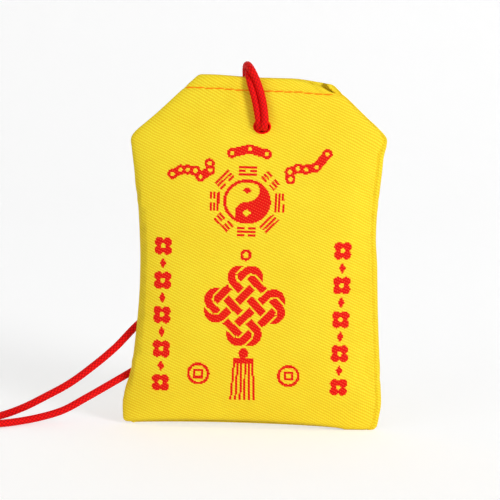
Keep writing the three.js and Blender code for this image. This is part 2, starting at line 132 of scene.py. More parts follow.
class PouchSizes(bpy.types.PropertyGroup):
    """Sizes of the sewn pouch"""

    height: length_property("Height", "From the ground to the mouth", box_size("front_panel").z)
    width: length_property("Width", "Across the shoulders", 65.8)
    base_spread: length_property("Base spread", "How much wider the base is than the shoulders", 0.2)
    waist_pull: length_property("Waist pull", "How much narrower the waist is than the shoulders", 5.4)
    waist_height: length_property("Waist height", "Height of the narrowest place", 46)
    mouth_width: length_property("Mouth width", "Width of the hemmed mouth", 33.4)
    shoulder_drop: length_property("Shoulder drop", "From the mouth down to the shoulder corner", 15.5)
    depth: length_property("Depth", "Front to back at the fullest place", 10.4)
    fullest_height: length_property("Fullest height", "Height of the fullest place", 36)
    cloth: length_property("Cloth", "Thickness of one layer of brocade", 0.6)
    hem: length_property("Hem", "Depth of the hem that is folded into the mouth", 4)
    stitch_drop: length_property("Stitch drop", "From the mouth down to the hem's stitching", 3.3)
    stitch_length: length_property("Stitch length", "Pitch of the hem's stitches", 2.5)
    eyelet_height: length_property("Eyelet height", "Height of the eyelets", box_middle("front_eyelet").z)


class CordSizes(bpy.types.PropertyGroup):
    """Sizes of the braided cord"""

    diameter: length_property("Diameter", "Thickness of the cord", 1.86)
    strand_gap: length_property("Strand gap", "Gap between the two strands of the hitch", 0.02)
    plait: length_property("Plait", "Length of one plait of the braid", 1.05)
    lean: angle_property("Lean", "How far the hitch leans to the left", HITCH_LEAN)
    coil_turns: IntProperty(name="Coil turns", description="Turns of the coil", default=1, min=1)
    knot_turns: IntProperty(name="Knot turns", description="Wraps of the end knot", default=3, min=1)


class PouchColours(bpy.types.PropertyGroup):
    """Colours of the cloth, the threads and the filling, with the painted shade of their grooves and
    hollows
    """

    ground_rib: colour_property("Ground rib", "Raised yarns of the ground weave", srgb(248, 233, 55))
    # The ground groove and figure groove colours are painted shade for where the weave lies low
    ground_groove_shade: colour_property("Ground groove", "Grooves of the ground weave", srgb(229, 177, 4))
    figure_rib: colour_property("Figure rib", "Raised yarns of the woven figure", srgb(241, 14, 10))
    figure_groove_shade: colour_property("Figure groove", "Grooves of the woven figure", srgb(210, 3, 3))
    binding: colour_property("Binding", "Fine yarn that binds the floats of the weave", srgb(255, 205, 100))
    stitch: colour_property("Stitch", "Thread of the hem", srgb(255, 140, 6))
    cord_light: colour_property("Cord light", "Outer yarns of the cord", srgb(254, 14, 12))
    # Painted shade in the hollows of the cord's braid
    cord_hollow_shade: colour_property("Cord dark", "Hollows of the cord's braid", srgb(110, 1, 6))
    paper: colour_property("Paper", "The folded paper inside", srgb(233, 190, 70))
    wadding: colour_property("Wadding", "The cotton wadding inside", srgb(244, 241, 232))
    band: colour_property("Band", "The paper band round the hank", srgb(238, 226, 196))


class StageSettings(bpy.types.PropertyGroup):
    """The camera and the light"""

    distance: length_property("Distance", "From the camera to the middle of the pouch", 500)
    target_height: length_property("Target height", "Height of the point that the camera aims at", 45)
    elevation: angle_property("Elevation", "How far the camera looks down", 7)
    roll: angle_property("Roll", "How far the camera is rolled", 1.55)
    lens: FloatProperty(
        name="Lens", description="Focal length on a 36 mm sensor", default=140.7, unit="CAMERA", min=1
    )
    key_power: power_property("Key power", "Power of the key light", 11.2)
    fill_power: power_property("Fill power", "Power of the fill light", 2.6)
    backdrop_power: power_property("Backdrop power", "Power of the lamp that faces the backdrop", 0.7)
    sky: FloatProperty(name="Sky", description="Strength of the even light all round", default=0.36)
    glow: FloatProperty(
        name="Glow",
        description="Brightness that the backdrop shows without a lamp",
        default=0.53,
        subtype="FACTOR",
    )
    backdrop: colour_property("Backdrop", "Colour of the floor and the backdrop", srgb(255, 255, 255))


def smooth_step(value, low, high):
    """0 below low and 1 above high, with a smooth rise between."""
    share = np.clip((value - low) / (high - low), 0, 1)
    return share * share * (3 - 2 * share)


def graded(*runs):
    """Places from 0 up, run by run, each run being its length and its spacing."""
    places = [0.0]
    for length, spacing in runs:
        count = max(round(length / spacing), 1)
        places.extend(places[-1] + length * (np.arange(count) + 1) / count)
    return np.array(places)


def cubic_profile(stations):
    """A cubic curve through (place, value) stations that never overshoots them."""
    places, values = np.array(stations, float).T
    rise = np.diff(values) / np.diff(places)
    before = np.append(rise[:1], rise)
    after = np.append(rise, rise[-1:])
    same_way = before * after > 0
    slope = np.where(same_way, 2 * before * after / np.where(same_way, before + after, 1), 0)

    def curve(place):
        i = np.clip(np.searchsorted(places, place) - 1, 0, len(places) - 2)
        span = places[i + 1] - places[i]
        t = (place - places[i]) / span
        ends = values[i] + (values[i + 1] - values[i]) * t * t * (3 - 2 * t)
        return ends + span * t * (1 - t) * (slope[i] * (1 - t) - slope[i + 1] * t)

    return curve


class PouchShape:
    """The outside of the filled pouch, in millimetres, worked out from the scene's sizes."""

    def __init__(self, sizes):
        for name in PouchSizes.__annotations__:
            setattr(self, name, getattr(sizes, name) / MM)
        self.base_width = self.width + self.base_spread
        self.waist_width = self.width - self.waist_pull
        self.shoulder_height = self.height - self.shoulder_drop
        self.upper_half_depth = cubic_profile([
            (self.fullest_height, self.depth / 2),
            (WADDING_TOP, WADDING_TOP_HALF_DEPTH),
            (self.eyelet_height, EYELET_HALF_DEPTH),
            (self.height, MOUTH_HALF_DEPTH),
        ])

    def half_width(self, z):
        """Half the width at height z: a waist, rounded base corners and slanted shoulders."""
        low = z < self.waist_height
        rise = self.shoulder_height - self.waist_height
        reach = np.where(low, self.waist_height - BASE_WIDEST_HEIGHT, rise)
        flare = np.where(low, self.base_width, self.width) - self.waist_width
        away = np.minimum(np.abs(z - self.waist_height) / reach, 1)
        side = (self.waist_width + flare * away**SIDE_FLARE) / 2
        slope = (self.width - self.mouth_width) / 2 / self.shoulder_drop
        slant = self.mouth_width / 2 + (self.height - z) * slope
        near = np.maximum(SHOULDER_ROUND - np.abs(side - slant), 0) / SHOULDER_ROUND
        into = np.maximum(BASE_CORNER_RADIUS - z, 0)
        corner = BASE_CORNER_RADIUS - np.sqrt(BASE_CORNER_RADIUS**2 - into**2)
        return np.minimum(side, slant) - near**2 * SHOULDER_ROUND / 4 - corner

    def half_depth(self, z):
        """Half the depth at height z on the middle line, from the rolled base up to the flat mouth."""
        below = np.clip((self.fullest_height - z) / self.fullest_height, 0, 1)
        lower = BASE_HALF_DEPTH + (self.depth / 2 - BASE_HALF_DEPTH) * np.sqrt(1 - below**BASE_ROLL)
        into = np.maximum(BASE_TURN - z, 0)
        turn = BASE_TURN - np.sqrt(BASE_TURN**2 - into**2)
        upper = self.upper_half_depth(np.maximum(z, self.fullest_height))
        return np.where(z < self.fullest_height, lower, upper) - turn

    def lift(self, x, z):
        """How far the base is lifted off the ground between its corners. The lift fades out upwards."""
        inside = np.maximum(1 - ((x - ARCH_MIDDLE) / ARCH_REACH) ** 2, 0)
        fade = np.maximum(1 - z / self.fullest_height, 0)
        return ARCH_RISE * inside**ARCH_FULLNESS * fade**2

    def section(self, z, turn, inset=0.0):
        """Points of the level section at height z. Turns start at the right edge and go by the front."""
        a = self.half_width(z) - inset
        b = self.half_depth(z) - inset
        c = np.cos(turn)
        y = -np.sign(np.sin(turn)) * b * np.sqrt(np.maximum(1 - np.abs(c) ** SECTION_FULLNESS, 0))
        return a * c, y

    def outward(self, z, x, y):
        """Level direction out of the section at height z."""
        a = self.half_width(z)
        b = self.half_depth(z)
        across = SECTION_FULLNESS * np.sign(x) * np.abs(x / a) ** (SECTION_FULLNESS - 1) / a
        through = 2 * y / b**2
        size = np.hypot(across, through) + TINY
        return across / size, through / size


def spline(points, steps=24):
    """A centripetal Catmull-Rom curve through points, sampled steps times between each two."""
    p = np.array(points, float)
    p = np.vstack([2 * p[0] - p[1], p, 2 * p[-1] - p[-2]])
    knots = np.linalg.norm(np.diff(p, axis=0), axis=1)[:, None] ** 0.5
    t = (np.arange(steps) / steps)[:, None]
    found = []
    for i in range(1, len(p) - 2):
        d0, d1, d2 = knots[i - 1], knots[i], knots[i + 1]
        m1 = (p[i] - p[i - 1]) / d0 - (p[i + 1] - p[i - 1]) / (d0 + d1) + (p[i + 1] - p[i]) / d1
        m2 = (p[i + 1] - p[i]) / d1 - (p[i + 2] - p[i]) / (d1 + d2) + (p[i + 2] - p[i + 1]) / d2
        m1, m2 = m1 * d1, m2 * d1
        rise = 3 * (p[i + 1] - p[i]) - 2 * m1 - m2
        found.append(p[i] + m1 * t + rise * t**2 + (2 * (p[i] - p[i + 1]) + m1 + m2) * t**3)
    return np.vstack([*found, p[-2:-1]])


def along_path(path):
    """Distance along a path at each of its points."""
    return np.append(0, np.cumsum(np.linalg.norm(np.diff(path, axis=0), axis=1)))


def spaced(path, spacing):
    """The path with its points about a spacing apart."""
    walked = along_path(path)
    places = np.linspace(0, walked[-1], max(round(walked[-1] / spacing), 2) + 1)
    return np.stack([np.interp(places, walked, path[:, k]) for k in range(3)], 1)


# How the cord stands off the cloth, in millimetres, and where the route of each strand lies, in shares of
# half the base's width, half the depth and the height. A place with no height lies on the ground.
RING_PROUD = 0.25
CORD_CLEARANCE = 0.35
LOOP_CLEARANCE = 0.45
LOOP_DIAMETERS = 1.5
HITCH_CLEARANCE = 0.65
HITCH_SLACK = -0.9
HITCH_BEND = 1.7
HITCH_DIP = 0.68
FRONT_LEG_BEND_SHARE = 0.6
BACK_LEG_BEND_SHARE = 0.5
FLOOR_CLEARANCE = 0.05
STRAND_START = 0.3
STRAND_OVERLAP = 0.4
COIL_INNER_RADIUS = 4.8
COIL_STRAIGHT = 20.0
COIL_GAP = 0.5
COIL_BEND_STEPS = 48
COIL_CLIMB_STEPS = 15
KNOT_GAP = 0.7
KNOT_LEAD = 9.0
KNOT_CLEARANCE = 0.3
KNOT_TURN_STEPS = 48
TAIL_LENGTH = 4.0
ROUTE_END = (-2.89, -1.337)
UPPER_ROUTE = [
    (-0.048, 1.38, 0.789), (-0.127, 1.38, 0.678), (-0.261, 1.34, 0.567), (-0.455, 1.24, 0.456),
    (-0.685, 0.96, 0.362), (-0.93, 0.58, 0.277), (-1.085, 0.35, 0.216), (-1.261, 0.13, 0.16),
    (-1.436, -0.08, 0.112), (-1.609, -0.23, 0.076), (-1.785, -0.31, 0.042), (-1.964, -0.37, 0.017),
    (-2.106, -0.72), (-2.258, -0.98), (-2.43, -1.09),
]
LOWER_ROUTE = [
    (0.042, 1.38, 0.778), (0.024, 1.38, 0.644), (-0.067, 1.38, 0.5), (-0.255, 1.32, 0.371),
    (-0.497, 1.15, 0.267), (-0.733, 0.88, 0.196), (-0.964, 0.48, 0.144), (-1.121, 0.12, 0.111),
    (-1.294, -0.35, 0.076), (-1.467, -0.69, 0.042), (-1.642, -0.88, 0.022), (-1.812, -1.23, 0.012),
    (-1.939, -1.73), (-2.06, -1.95), (-2.2, -1.9), (-2.37, -1.68), (-2.52, -1.58),
]


class CordPaths:
    """Centre lines of the hitch, the strands and the knot, as in the part's source."""

    def __init__(self, sizes, shape):
        self.shape = shape
        self.lean = -sizes.lean
        self.turns = sizes.coil_turns
        self.knot_turns = sizes.knot_turns
        self.diameter = sizes.diameter / MM
        self.radius = self.diameter / 2
        self.pair = (self.diameter + sizes.strand_gap / MM) / 2
        self.lie = self.radius + FLOOR_CLEARANCE
        self.pitch = self.diameter + COIL_GAP
        self.pass_end = EYELET_HALF_DEPTH + RING_PROUD
        self.loop = LOOP_DIAMETERS * self.diameter + LOOP_CLEARANCE
        lowest = float(shape.half_depth(np.array(shape.eyelet_height - self.loop - self.radius)))
        self.loop_depth = lowest + CORD_CLEARANCE + self.radius
        self.end_x, self.end_y, _ = self.beside(*ROUTE_END)
        self.coil_x = self.end_x - STRAND_START - self.diameter
        self.coil_y = self.end_y + self.coil_radius(0)
        self.knot_pitch = self.diameter + KNOT_GAP

    def beside(self, across, behind, up=None):
        """A place beside the pouch, given in shares of its sizes."""
        z = self.lie if up is None else up * self.shape.height
        return across * self.shape.base_width / 2, behind * self.shape.depth / 2, z

    def hitch(self):
        """Out of the back eyelet, over the mouth, round both strands and back the same way."""
        q = math.sqrt(0.5)
        leg = self.pass_end + HITCH_CLEARANCE + self.radius
        arch = MOUTH_HALF_DEPTH + HITCH_CLEARANCE + self.radius
        rise = self.shape.height - self.shape.eyelet_height + HITCH_SLACK
        bend, pair, loop, deep = HITCH_BEND, self.pair, self.loop, self.loop_depth
        dip, over = HITCH_DIP, self.radius * q
        # Half the pair's spread, its depth and height, its shift to the right, and how far one strand leads
        # the other in depth and height. They cross at the top, the right-hand one over the other.
        half = [
            (pair, self.pass_end, 0, 0, 0, 0),
            (0.85 * pair, 0, 0, 0.3, -0.4, 0),
            (0.65 * pair, bend - leg, -dip, 0.38, -0.65, 0),
            (0.65 * pair, bend * (1 - q) - leg, bend * (1 - q) - dip, 0.45, -0.65, 0),
            (0.8 * pair, -leg, bend - dip, 0.8, -0.45, 0),
            (0.93 * pair, -(leg + arch) / 2, rise * FRONT_LEG_BEND_SHARE, 1.08, -0.3, 0),
            (0.88 * pair, -arch, rise, 0.69, -0.4, 0),
            (0.5 * pair, -arch * q, rise + arch * q, 0.3, -0.9 * over, 0.9 * over),
            (0.05 * pair, 0, rise + arch, -0.1, 0, self.radius),
            (-0.35 * pair, arch * q, rise + arch * q, -0.35, over, over),
            (-pair, arch, rise, -0.25, 0.28, 0),
            (-(pair + loop) / 2, (arch + deep) / 2, rise * BACK_LEG_BEND_SHARE, -0.1, 0, 0),
            (-loop, deep, self.radius, 0, 0, 0),
            (-loop * q, deep, -loop * q, 0, 0, 0),
            (0, deep, -loop, 0, 0, 0),
        ]
        there = [(shift + x, y + dy, z + dz) for x, y, z, shift, dy, dz in half]
        back_again = [(shift - x, y - dy, z - dz) for x, y, z, shift, dy, dz in half[-2::-1]]
        x, y, z = spline(there + back_again).T
        c, s = math.cos(self.lean), math.sin(self.lean)
        return np.stack([c * x + s * z, y, self.shape.eyelet_height - s * x + c * z], 1)

    def strand(self, hand, route):
        """From inside the back eyelet, behind the pouch, over the ground and by the coil to the tail."""
        x = hand * self.pair * math.cos(self.lean)
        z = self.shape.eyelet_height - hand * self.pair * math.sin(self.lean)
        end = self.end_y - hand * self.pitch / 2
        start = self.pass_end + STRAND_START
        free = spline([
            (x, start, z),
            (x, self.loop_depth, z),
            (x, self.loop_depth + self.diameter + CORD_CLEARANCE, z - self.diameter),
            *(self.beside(*place) for place in route),
            (self.end_x + self.diameter, end, self.lie),
            (self.end_x, end, self.lie),
        ])
        return np.vstack([[(x, start - STRAND_OVERLAP, z)], free, self.coil(hand)])

    def coil_radius(self, bends):
        return COIL_INNER_RADIUS + self.pitch * abs(bends - self.turns)

    def coil(self, hand):
        """Bend by bend, with straights between: in on the lower layer, up, and out on the upper one."""
        bent = np.linspace(0, 1, COIL_BEND_STEPS)
        climb = np.linspace(0, 1, COIL_CLIMB_STEPS)[1:-1]
        points = []
        for bends in range(2 * self.turns):
            before, after = self.coil_radius(bends), self.coil_radius(bends + 1)
            radius = before + (after - before) * smooth_step(bent, 0, 1) + hand * self.pitch / 2
            angle = -math.pi / 2 - math.pi * (bends + bent)
            middle = self.coil_x + (COIL_STRAIGHT if bends % 2 else 0)
            height = self.lie + (self.pitch if bends >= self.turns else 0)
            x, y = middle + radius * np.cos(angle), self.coil_y + radius * np.sin(angle)
            points.append(np.stack([x, y, np.full_like(x, height)], 1))
            if bends == self.turns - 1:
                way = -1 if bends % 2 else 1
                rise = self.pitch * (1 - np.cos(math.pi * climb)) / 2
                straight = np.stack([way * COIL_STRAIGHT * climb, np.zeros_like(climb), rise], 1)
                points.append(points[-1][-1:] + straight)
        run = COIL_STRAIGHT + KNOT_LEAD + self.knot_turns * self.knot_pitch + TAIL_LENGTH
        lead = points[0][:1] + [(self.diameter, 0, 0)]
        return np.vstack([lead, *points, points[-1][-1:] - [(run, 0, 0)]])

    def knot(self):
        """One strand wrapped round both, flattened as it lies, with straight ends."""
        wide = self.pitch / 2 + self.diameter + KNOT_CLEARANCE
        high = self.diameter + KNOT_CLEARANCE
        turn = np.linspace(0, self.knot_turns, KNOT_TURN_STEPS * self.knot_turns)
        angle = 2 * math.pi * turn - math.pi / 2
        wraps = np.stack([
            self.coil_x - KNOT_LEAD - self.radius - turn * self.knot_pitch,
            self.end_y + wide * np.cos(angle),
            self.lie + self.pitch + high * np.sin(angle),
        ], 1)
        stub = np.array([(0, self.diameter, 0)])
        return np.vstack([wraps[:1] - stub, wraps, wraps[-1:] + stub])


# Shader nodes

def node(tree, kind, **inputs):
    """A new node whose inputs, by name with underscores for spaces, are set or linked."""
    made = tree.nodes.new("ShaderNode" + kind)
    for name, value in inputs.items():
        feed(tree, made.inputs[name.replace("_", " ")], value)
    return made


def feed(tree, socket, value):
    if isinstance(value, bpy.types.NodeSocket):
        tree.links.new(value, socket)
    else:
        socket.default_value = value


def calculate(tree, operation, *values):
    """The result of a Math node."""
    made = tree.nodes.new("ShaderNodeMath")
    made.operation = operation
    for socket, value in zip(made.inputs, values):
        feed(tree, socket, value)
    return made.outputs[0]


def project(tree, vector, direction):
    """How far a vector reaches along a direction."""
    made = tree.nodes.new("ShaderNodeVectorMath")
    made.operation = "DOT_PRODUCT"
    feed(tree, made.inputs[0], vector)
    made.inputs[1].default_value = direction
    return made.outputs["Value"]


def scale_vector(tree, vector, factor):
    made = tree.nodes.new("ShaderNodeVectorMath")
    made.operation = "SCALE"
    feed(tree, made.inputs[0], vector)
    made.inputs["Scale"].default_value = factor
    return made.outputs["Vector"]


def wave(tree, turns):
    """A wave from 0 to 1, one for each whole turn."""
    cosine = calculate(tree, "COSINE", calculate(tree, "MULTIPLY", turns, 2 * math.pi))
    return calculate(tree, "MULTIPLY_ADD", cosine, 0.5, 0.5)


def mix_colours(tree, factor, a, b, blend="MIX"):
    made = tree.nodes.new("ShaderNodeMix")
    made.data_type = "RGBA"
    made.blend_type = blend
    feed(tree, made.inputs[0], factor)
    feed(tree, made.inputs[6], a)
    feed(tree, made.inputs[7], b)
    return made.outputs[2]


def spread(tree, value, low, high):
    """A value from 0 to 1 spread over another range."""
    return calculate(tree, "MULTIPLY_ADD", value, high - low, low)


def new_group(name, inputs, outputs):
    """An empty node group with named sockets. Gives its tree, its input node and its output node."""
    tree = bpy.data.node_groups.new(name, "ShaderNodeTree")
    for socket, kind in inputs:
        tree.interface.new_socket(socket, in_out="INPUT", socket_type="NodeSocket" + kind)
    for socket, kind in outputs:
        tree.interface.new_socket(socket, in_out="OUTPUT", socket_type="NodeSocket" + kind)
    return tree, tree.nodes.new("NodeGroupInput").outputs, tree.nodes.new("NodeGroupOutput").inputs


def use_group(tree, name, builder, **inputs):
    """A node group placed in a material, built when it is first used."""
    made = tree.nodes.new("ShaderNodeGroup")
    made.node_tree = bpy.data.node_groups.get(name) or builder(name)
    for socket, value in inputs.items():
        feed(tree, made.inputs[socket.replace("_", " ")], value)
    return made.outputs


TWO_TONE = [("Place", "Vector"), ("Light", "Color"), ("Dark", "Color")]
SURFACE = [("Colour", "Color"), ("Height", "Float"), ("Roughness", "Float")]

# The brocade's weave, as ribs and floats per millimetre across and up the cloth, and how it is shaded, with
# painted shade where it lies low
RIBS = (0.61, 1.37, 0)
FLOATS = (1.88, 0.45, 0)
WEAVE_DRIFT = (-0.45, 0.45)
FLOAT_HEIGHT = (0.6, 1.0)
RIB_POWER = 0.7
YARN_TONE = (-0.2, 0.2)
CLOUD_TONE = (-0.16, 0.16)
WEAVE_TONE = (0.22, 0.94)
BINDING_POWER = 3.0
BINDING_STRENGTH = (0.0, 0.4)
WEAVE_ROUGHNESS = (0.78, 0.62)


def twill_group(name):
    """Slanting ribs of a twill, each a row of short floats bound at their ends, and uneven yarn, with
    painted shade in the grooves.
    """
    colours = [(f"{part} Colour", "Color") for part in ("Rib", "Groove", "Binding")]
    tree, given, result = new_group(name, [("Place", "Vector"), *colours], SURFACE)
    drift = node(tree, "TexNoise", Vector=given["Place"], Scale=0.2, Detail=2.0)
    shift = spread(tree, drift.outputs["Fac"], *WEAVE_DRIFT)
    rib = calculate(tree, "ADD", project(tree, given["Place"], RIBS), shift)
    run = calculate(tree, "ADD", project(tree, given["Place"], FLOATS), shift)
    afloat = wave(tree, run)
    floats = spread(tree, afloat, *FLOAT_HEIGHT)
    height = calculate(tree, "MULTIPLY", calculate(tree, "POWER", wave(tree, rib), RIB_POWER), floats)
    yarn = node(tree, "TexNoise", Vector=given["Place"], Scale=2.6, Detail=3.0)
    cloud = node(tree, "TexNoise", Vector=given["Place"], Scale=0.09, Detail=2.0)
    uneven = spread(tree, yarn.outputs["Fac"], *YARN_TONE)
    uneven = calculate(tree, "ADD", uneven, spread(tree, cloud.outputs["Fac"], *CLOUD_TONE))
    tone = calculate(tree, "ADD", spread(tree, height, *WEAVE_TONE), uneven)
    # Painted shade: the yarns darken towards the groove colour where the weave lies low, with their random
    # tone added
    yarns = mix_colours(tree, tone, given["Groove Colour"], given["Rib Colour"])
    bound = calculate(tree, "MULTIPLY", wave(tree, rib), calculate(tree, "SUBTRACT", 1.0, afloat))
    strength = spread(tree, yarn.outputs["Fac"], *BINDING_STRENGTH)
    bound = calculate(tree, "MULTIPLY", calculate(tree, "POWER", bound, BINDING_POWER), strength)
    tree.links.new(mix_colours(tree, bound, yarns, given["Binding Colour"]), result["Colour"])
    tree.links.new(height, result["Height"])
    tree.links.new(spread(tree, height, *WEAVE_ROUGHNESS), result["Roughness"])
    return tree


# Shading of a thread's yarns and a braid's crossings, with painted shade in their hollows
HOLLOW_POWER = 0.5
HOLLOW_HEIGHT = (0.3, 1.28)
TWIST_HEIGHT = (0.72, 1.0)
FUZZ_TONE = (-0.18, 0.18)
THREAD_ROUGHNESS = (0.7, 0.5)
FIBRE_ROUGHNESS = (0.8, 0.98)


def twist_group(name):
    """Yarns that run slantwise round a thread or cord, lighter on top and painted shade between."""
    numbers = [(part, "Float") for part in ("Yarn", "Carriers", "Rows")]
    tree, given, result = new_group(name, [*TWO_TONE, *numbers], SURFACE)
    place = node(tree, "SeparateXYZ", Vector=given["Place"])
    around, along = place.outputs["X"], place.outputs["Y"]
    one_way = calculate(tree, "DIVIDE", calculate(tree, "ADD", around, along), given["Yarn"])
    other_way = calculate(tree, "DIVIDE", calculate(tree, "SUBTRACT", around, along), given["Yarn"])
    across = calculate(tree, "MULTIPLY", around, given["Carriers"])
    along_rows = calculate(tree, "MULTIPLY", along, given["Rows"])
    rising = calculate(tree, "COSINE", calculate(tree, "ADD", across, along_rows))
    falling = calculate(tree, "COSINE", calculate(tree, "SUBTRACT", across, along_rows))
    on_top = calculate(tree, "MULTIPLY", rising, falling)
    first = calculate(tree, "GREATER_THAN", on_top, 0.0)
    lines = calculate(tree, "MULTIPLY", wave(tree, one_way), first)
    second = calculate(tree, "SUBTRACT", 1.0, first)
    lines = calculate(tree, "MULTIPLY_ADD", wave(tree, other_way), second, lines)
    hollow = calculate(tree, "POWER", calculate(tree, "ABSOLUTE", on_top), HOLLOW_POWER)
    plump = spread(tree, hollow, *HOLLOW_HEIGHT)
    height = calculate(tree, "MULTIPLY", plump, spread(tree, lines, *TWIST_HEIGHT))
    fuzz = node(tree, "TexNoise", Vector=given["Place"], Scale=3.0, Detail=3.0)
    tone = calculate(tree, "ADD", height, spread(tree, fuzz.outputs["Fac"], *FUZZ_TONE))
    # Painted shade: darker in the hollows between the yarns and the braid's carriers, with a random fuzz of
    # tone
    tree.links.new(mix_colours(tree, tone, given["Dark"], given["Light"]), result["Colour"])
    tree.links.new(height, result["Height"])
    tree.links.new(spread(tree, height, *THREAD_ROUGHNESS), result["Roughness"])
    return tree


def fibre_group(name):
    """Matted fibres, as in paper and wadding, darker where they lie low: partly their own uneven tone and
    partly painted shade in their hollows.
    """
    tree, given, result = new_group(name, [*TWO_TONE, ("Fibre Scale", "Float")], SURFACE)
    place, scale = given["Place"], given["Fibre Scale"]
    cloud = node(tree, "TexNoise", Vector=place, Scale=scale, Detail=6.0, Roughness=0.7)
    cells = node(tree, "TexVoronoi", Vector=place, Scale=scale)
    strands = calculate(tree, "MULTIPLY", cloud.outputs["Fac"], cells.outputs["Distance"])
    height = calculate(tree, "ADD", cloud.outputs["Fac"], strands)
    # Partly the fibres' own uneven tone and partly painted shade: darker where they lie low
    tree.links.new(mix_colours(tree, height, given["Dark"], given["Light"]), result["Colour"])
    tree.links.new(height, result["Height"])
    tree.links.new(spread(tree, cloud.outputs["Fac"], *FIBRE_ROUGHNESS), result["Roughness"])
    return tree


# The map holds a hundredth of each place in millimetres, so that a whole panel fits it
MAP_NAME = "Flat"
MAP_SCALE = 0.01

# Relief in millimetres with the strength of its bump, and the width of each thread's yarns in millimetres
WEAVE_BUMP = (0.14, 0.38)
THREAD_BUMP = (0.1, 0.6)
FIBRE_BUMP_STRENGTH = 0.5
CORD_YARN = 0.24
HEM_YARN = 0.16
EYELET_YARN = 0.14
# Fibres in a millimetre, and their relief
PAPER_FIBRE = (2.2, 0.06)
WADDING_FIBRE = (0.9, 0.4)
# How dark the painted shade in a thing's hollows is, as a share of its own colour
HEM_SHADE = 0.7
EYELET_SHADE = 0.45
BAND_SHADE = 0.85
WADDING_SHADE = 0.72
PAPER_SHADE = 0.8


def flat_place(tree):
    """Place on the flat cloth or along the thread, in millimetres."""
    chart = tree.nodes.new("ShaderNodeUVMap")
    chart.uv_map = MAP_NAME
    return scale_vector(tree, chart.outputs["UV"], 1 / MAP_SCALE)


def new_material(name, **constants):
    """A Principled material. Constants are set on its own sockets, by name with underscores for spaces."""
    material = bpy.data.materials.new(name)
    material.use_nodes = True
    shader = material.node_tree.nodes["Principled BSDF"]
    for socket, value in constants.items():
        shader.inputs[socket.replace("_", " ")].default_value = value
    return material, material.node_tree, shader


def dress(tree, shader, surface, relief, strength):
    """Join a group's colour, roughness and height to the shader. relief is in millimetres."""
    tree.links.new(surface["Colour"], shader.inputs["Base Color"])
    tree.links.new(surface["Roughness"], shader.inputs["Roughness"])
    bump = node(tree, "Bump", Height=surface["Height"], Strength=strength, Distance=relief * MM)
    tree.links.new(bump.outputs["Normal"], shader.inputs["Normal"])


def rgba(colour):
    return (*colour, 1.0)


def brocade_material(name, rib, groove, binding):
    material, tree, shader = new_material(name, Specular_IOR_Level=0.12)
    surface = use_group(
        tree,
        "Twill weave",
        twill_group,
        Place=flat_place(tree),
        Rib_Colour=rgba(rib),
        Groove_Colour=rgba(groove),
        Binding_Colour=rgba(binding),
    )
    dress(tree, shader, surface, *WEAVE_BUMP)
    return material


def thread_material(name, light, dark, yarn, carriers=0.0, rows=0.0):
    """A twisted thread, or a braid with so many radians of its carriers and rows in a millimetre."""
    material, tree, shader = new_material(name, Specular_IOR_Level=0.1)
    surface = use_group(
        tree, "Thread twist", twist_group,
        Place=flat_place(tree), Light=rgba(light), Dark=rgba(dark), Yarn=yarn, Carriers=carriers, Rows=rows,
    )
    dress(tree, shader, surface, *THREAD_BUMP)
    return material


def fibre_material(name, light, dark, scale, relief):
    material, tree, shader = new_material(name, Specular_IOR_Level=0.2)
    surface = use_group(
        tree, "Matted fibres", fibre_group,
        Place=flat_place(tree), Light=rgba(light), Dark=rgba(dark), Fibre_Scale=scale,
    )
    dress(tree, shader, surface, relief, FIBRE_BUMP_STRENGTH)
    return material


def kept_material(name, builder, *arguments):
    """A material by name, built when it is first asked for."""
    return bpy.data.materials.get(name) or builder(name, *arguments)


def cord_material(colours, cord):
    carriers = BRAID_CARRIERS / (cord.diameter / MM)
    rows = math.pi / (cord.plait / MM)
    # The dark colour is painted shade in the braid's hollows
    light, dark = colours.cord_light, colours.cord_hollow_shade
    return kept_material("Braided cord", thread_material, light, dark, CORD_YARN, carriers, rows)


def darker(colour, share):
    return tuple(value * share for value in colour)


def kept_fibre(name, colour, shade, fibre):
    # The darker colour is painted shade in the fibres' hollows
    return kept_material(name, fibre_material, colour, darker(colour, shade), *fibre)


# Meshes

def grid_faces(rows, columns, closed=False):
    """Corners of a grid's quads, with each corner's row and column. A closed grid joins its sides."""
    across = columns if closed else columns - 1
    row, column = np.meshgrid(np.arange(rows - 1), np.arange(across), indexing="ij")
    row, column = row.ravel(), column.ravel()
    corner_row = np.stack([row, row, row + 1, row + 1], 1)
    corner_column = np.stack([column, column + 1, column + 1, column], 1)
    return corner_row * columns + corner_column % columns, corner_row, corner_column


def end_caps(rows, columns):
    """Faces that close the two ends of a closed grid."""
    last = (rows - 1) * columns
    return [list(range(columns))[::-1], list(range(last, last + columns))]


def face_corners(faces):
    """The point at each corner of each face."""
    return np.concatenate([np.ravel(face) for face in faces])


def new_piece(name, points, faces, materials, chart=None):
    """A smooth mesh from points in millimetres. chart gives each face corner's place on the flat piece."""
    points = np.reshape(points, (-1, 3))
    mesh = bpy.data.meshes.new(name)
    mesh.from_pydata((points * MM).tolist(), [], [list(map(int, face)) for face in faces])
    if chart is not None:
        layer = mesh.uv_layers.new(name=MAP_NAME)
        layer.data.foreach_set("uv", (np.asarray(chart, float) * MAP_SCALE).ravel())
    for material in materials:
        mesh.materials.append(material)
    mesh.polygons.foreach_set("use_smooth", np.ones(len(mesh.polygons), bool))
    piece = bpy.data.objects.new(name, mesh)
    bpy.context.scene.collection.objects.link(piece)
    return piece


def face_outwards(piece):
    form = bmesh.new()
    form.from_mesh(piece.data)
    bmesh.ops.recalc_face_normals(form, faces=form.faces)
    form.to_mesh(piece.data)
    form.free()


def closed_piece(name, points, faces, materials, chart):
    """A new piece whose faces are turned outwards."""
    piece = new_piece(name, points, faces, materials, chart)
    face_outwards(piece)
    return piece


# A direction that no path starts in, and the angles of the rings that round off a tube's end
TUBE_SIDE = (0.31, 0.17, 0.93)
DOME_ANGLES = (18, 36, 54, 72, 86)


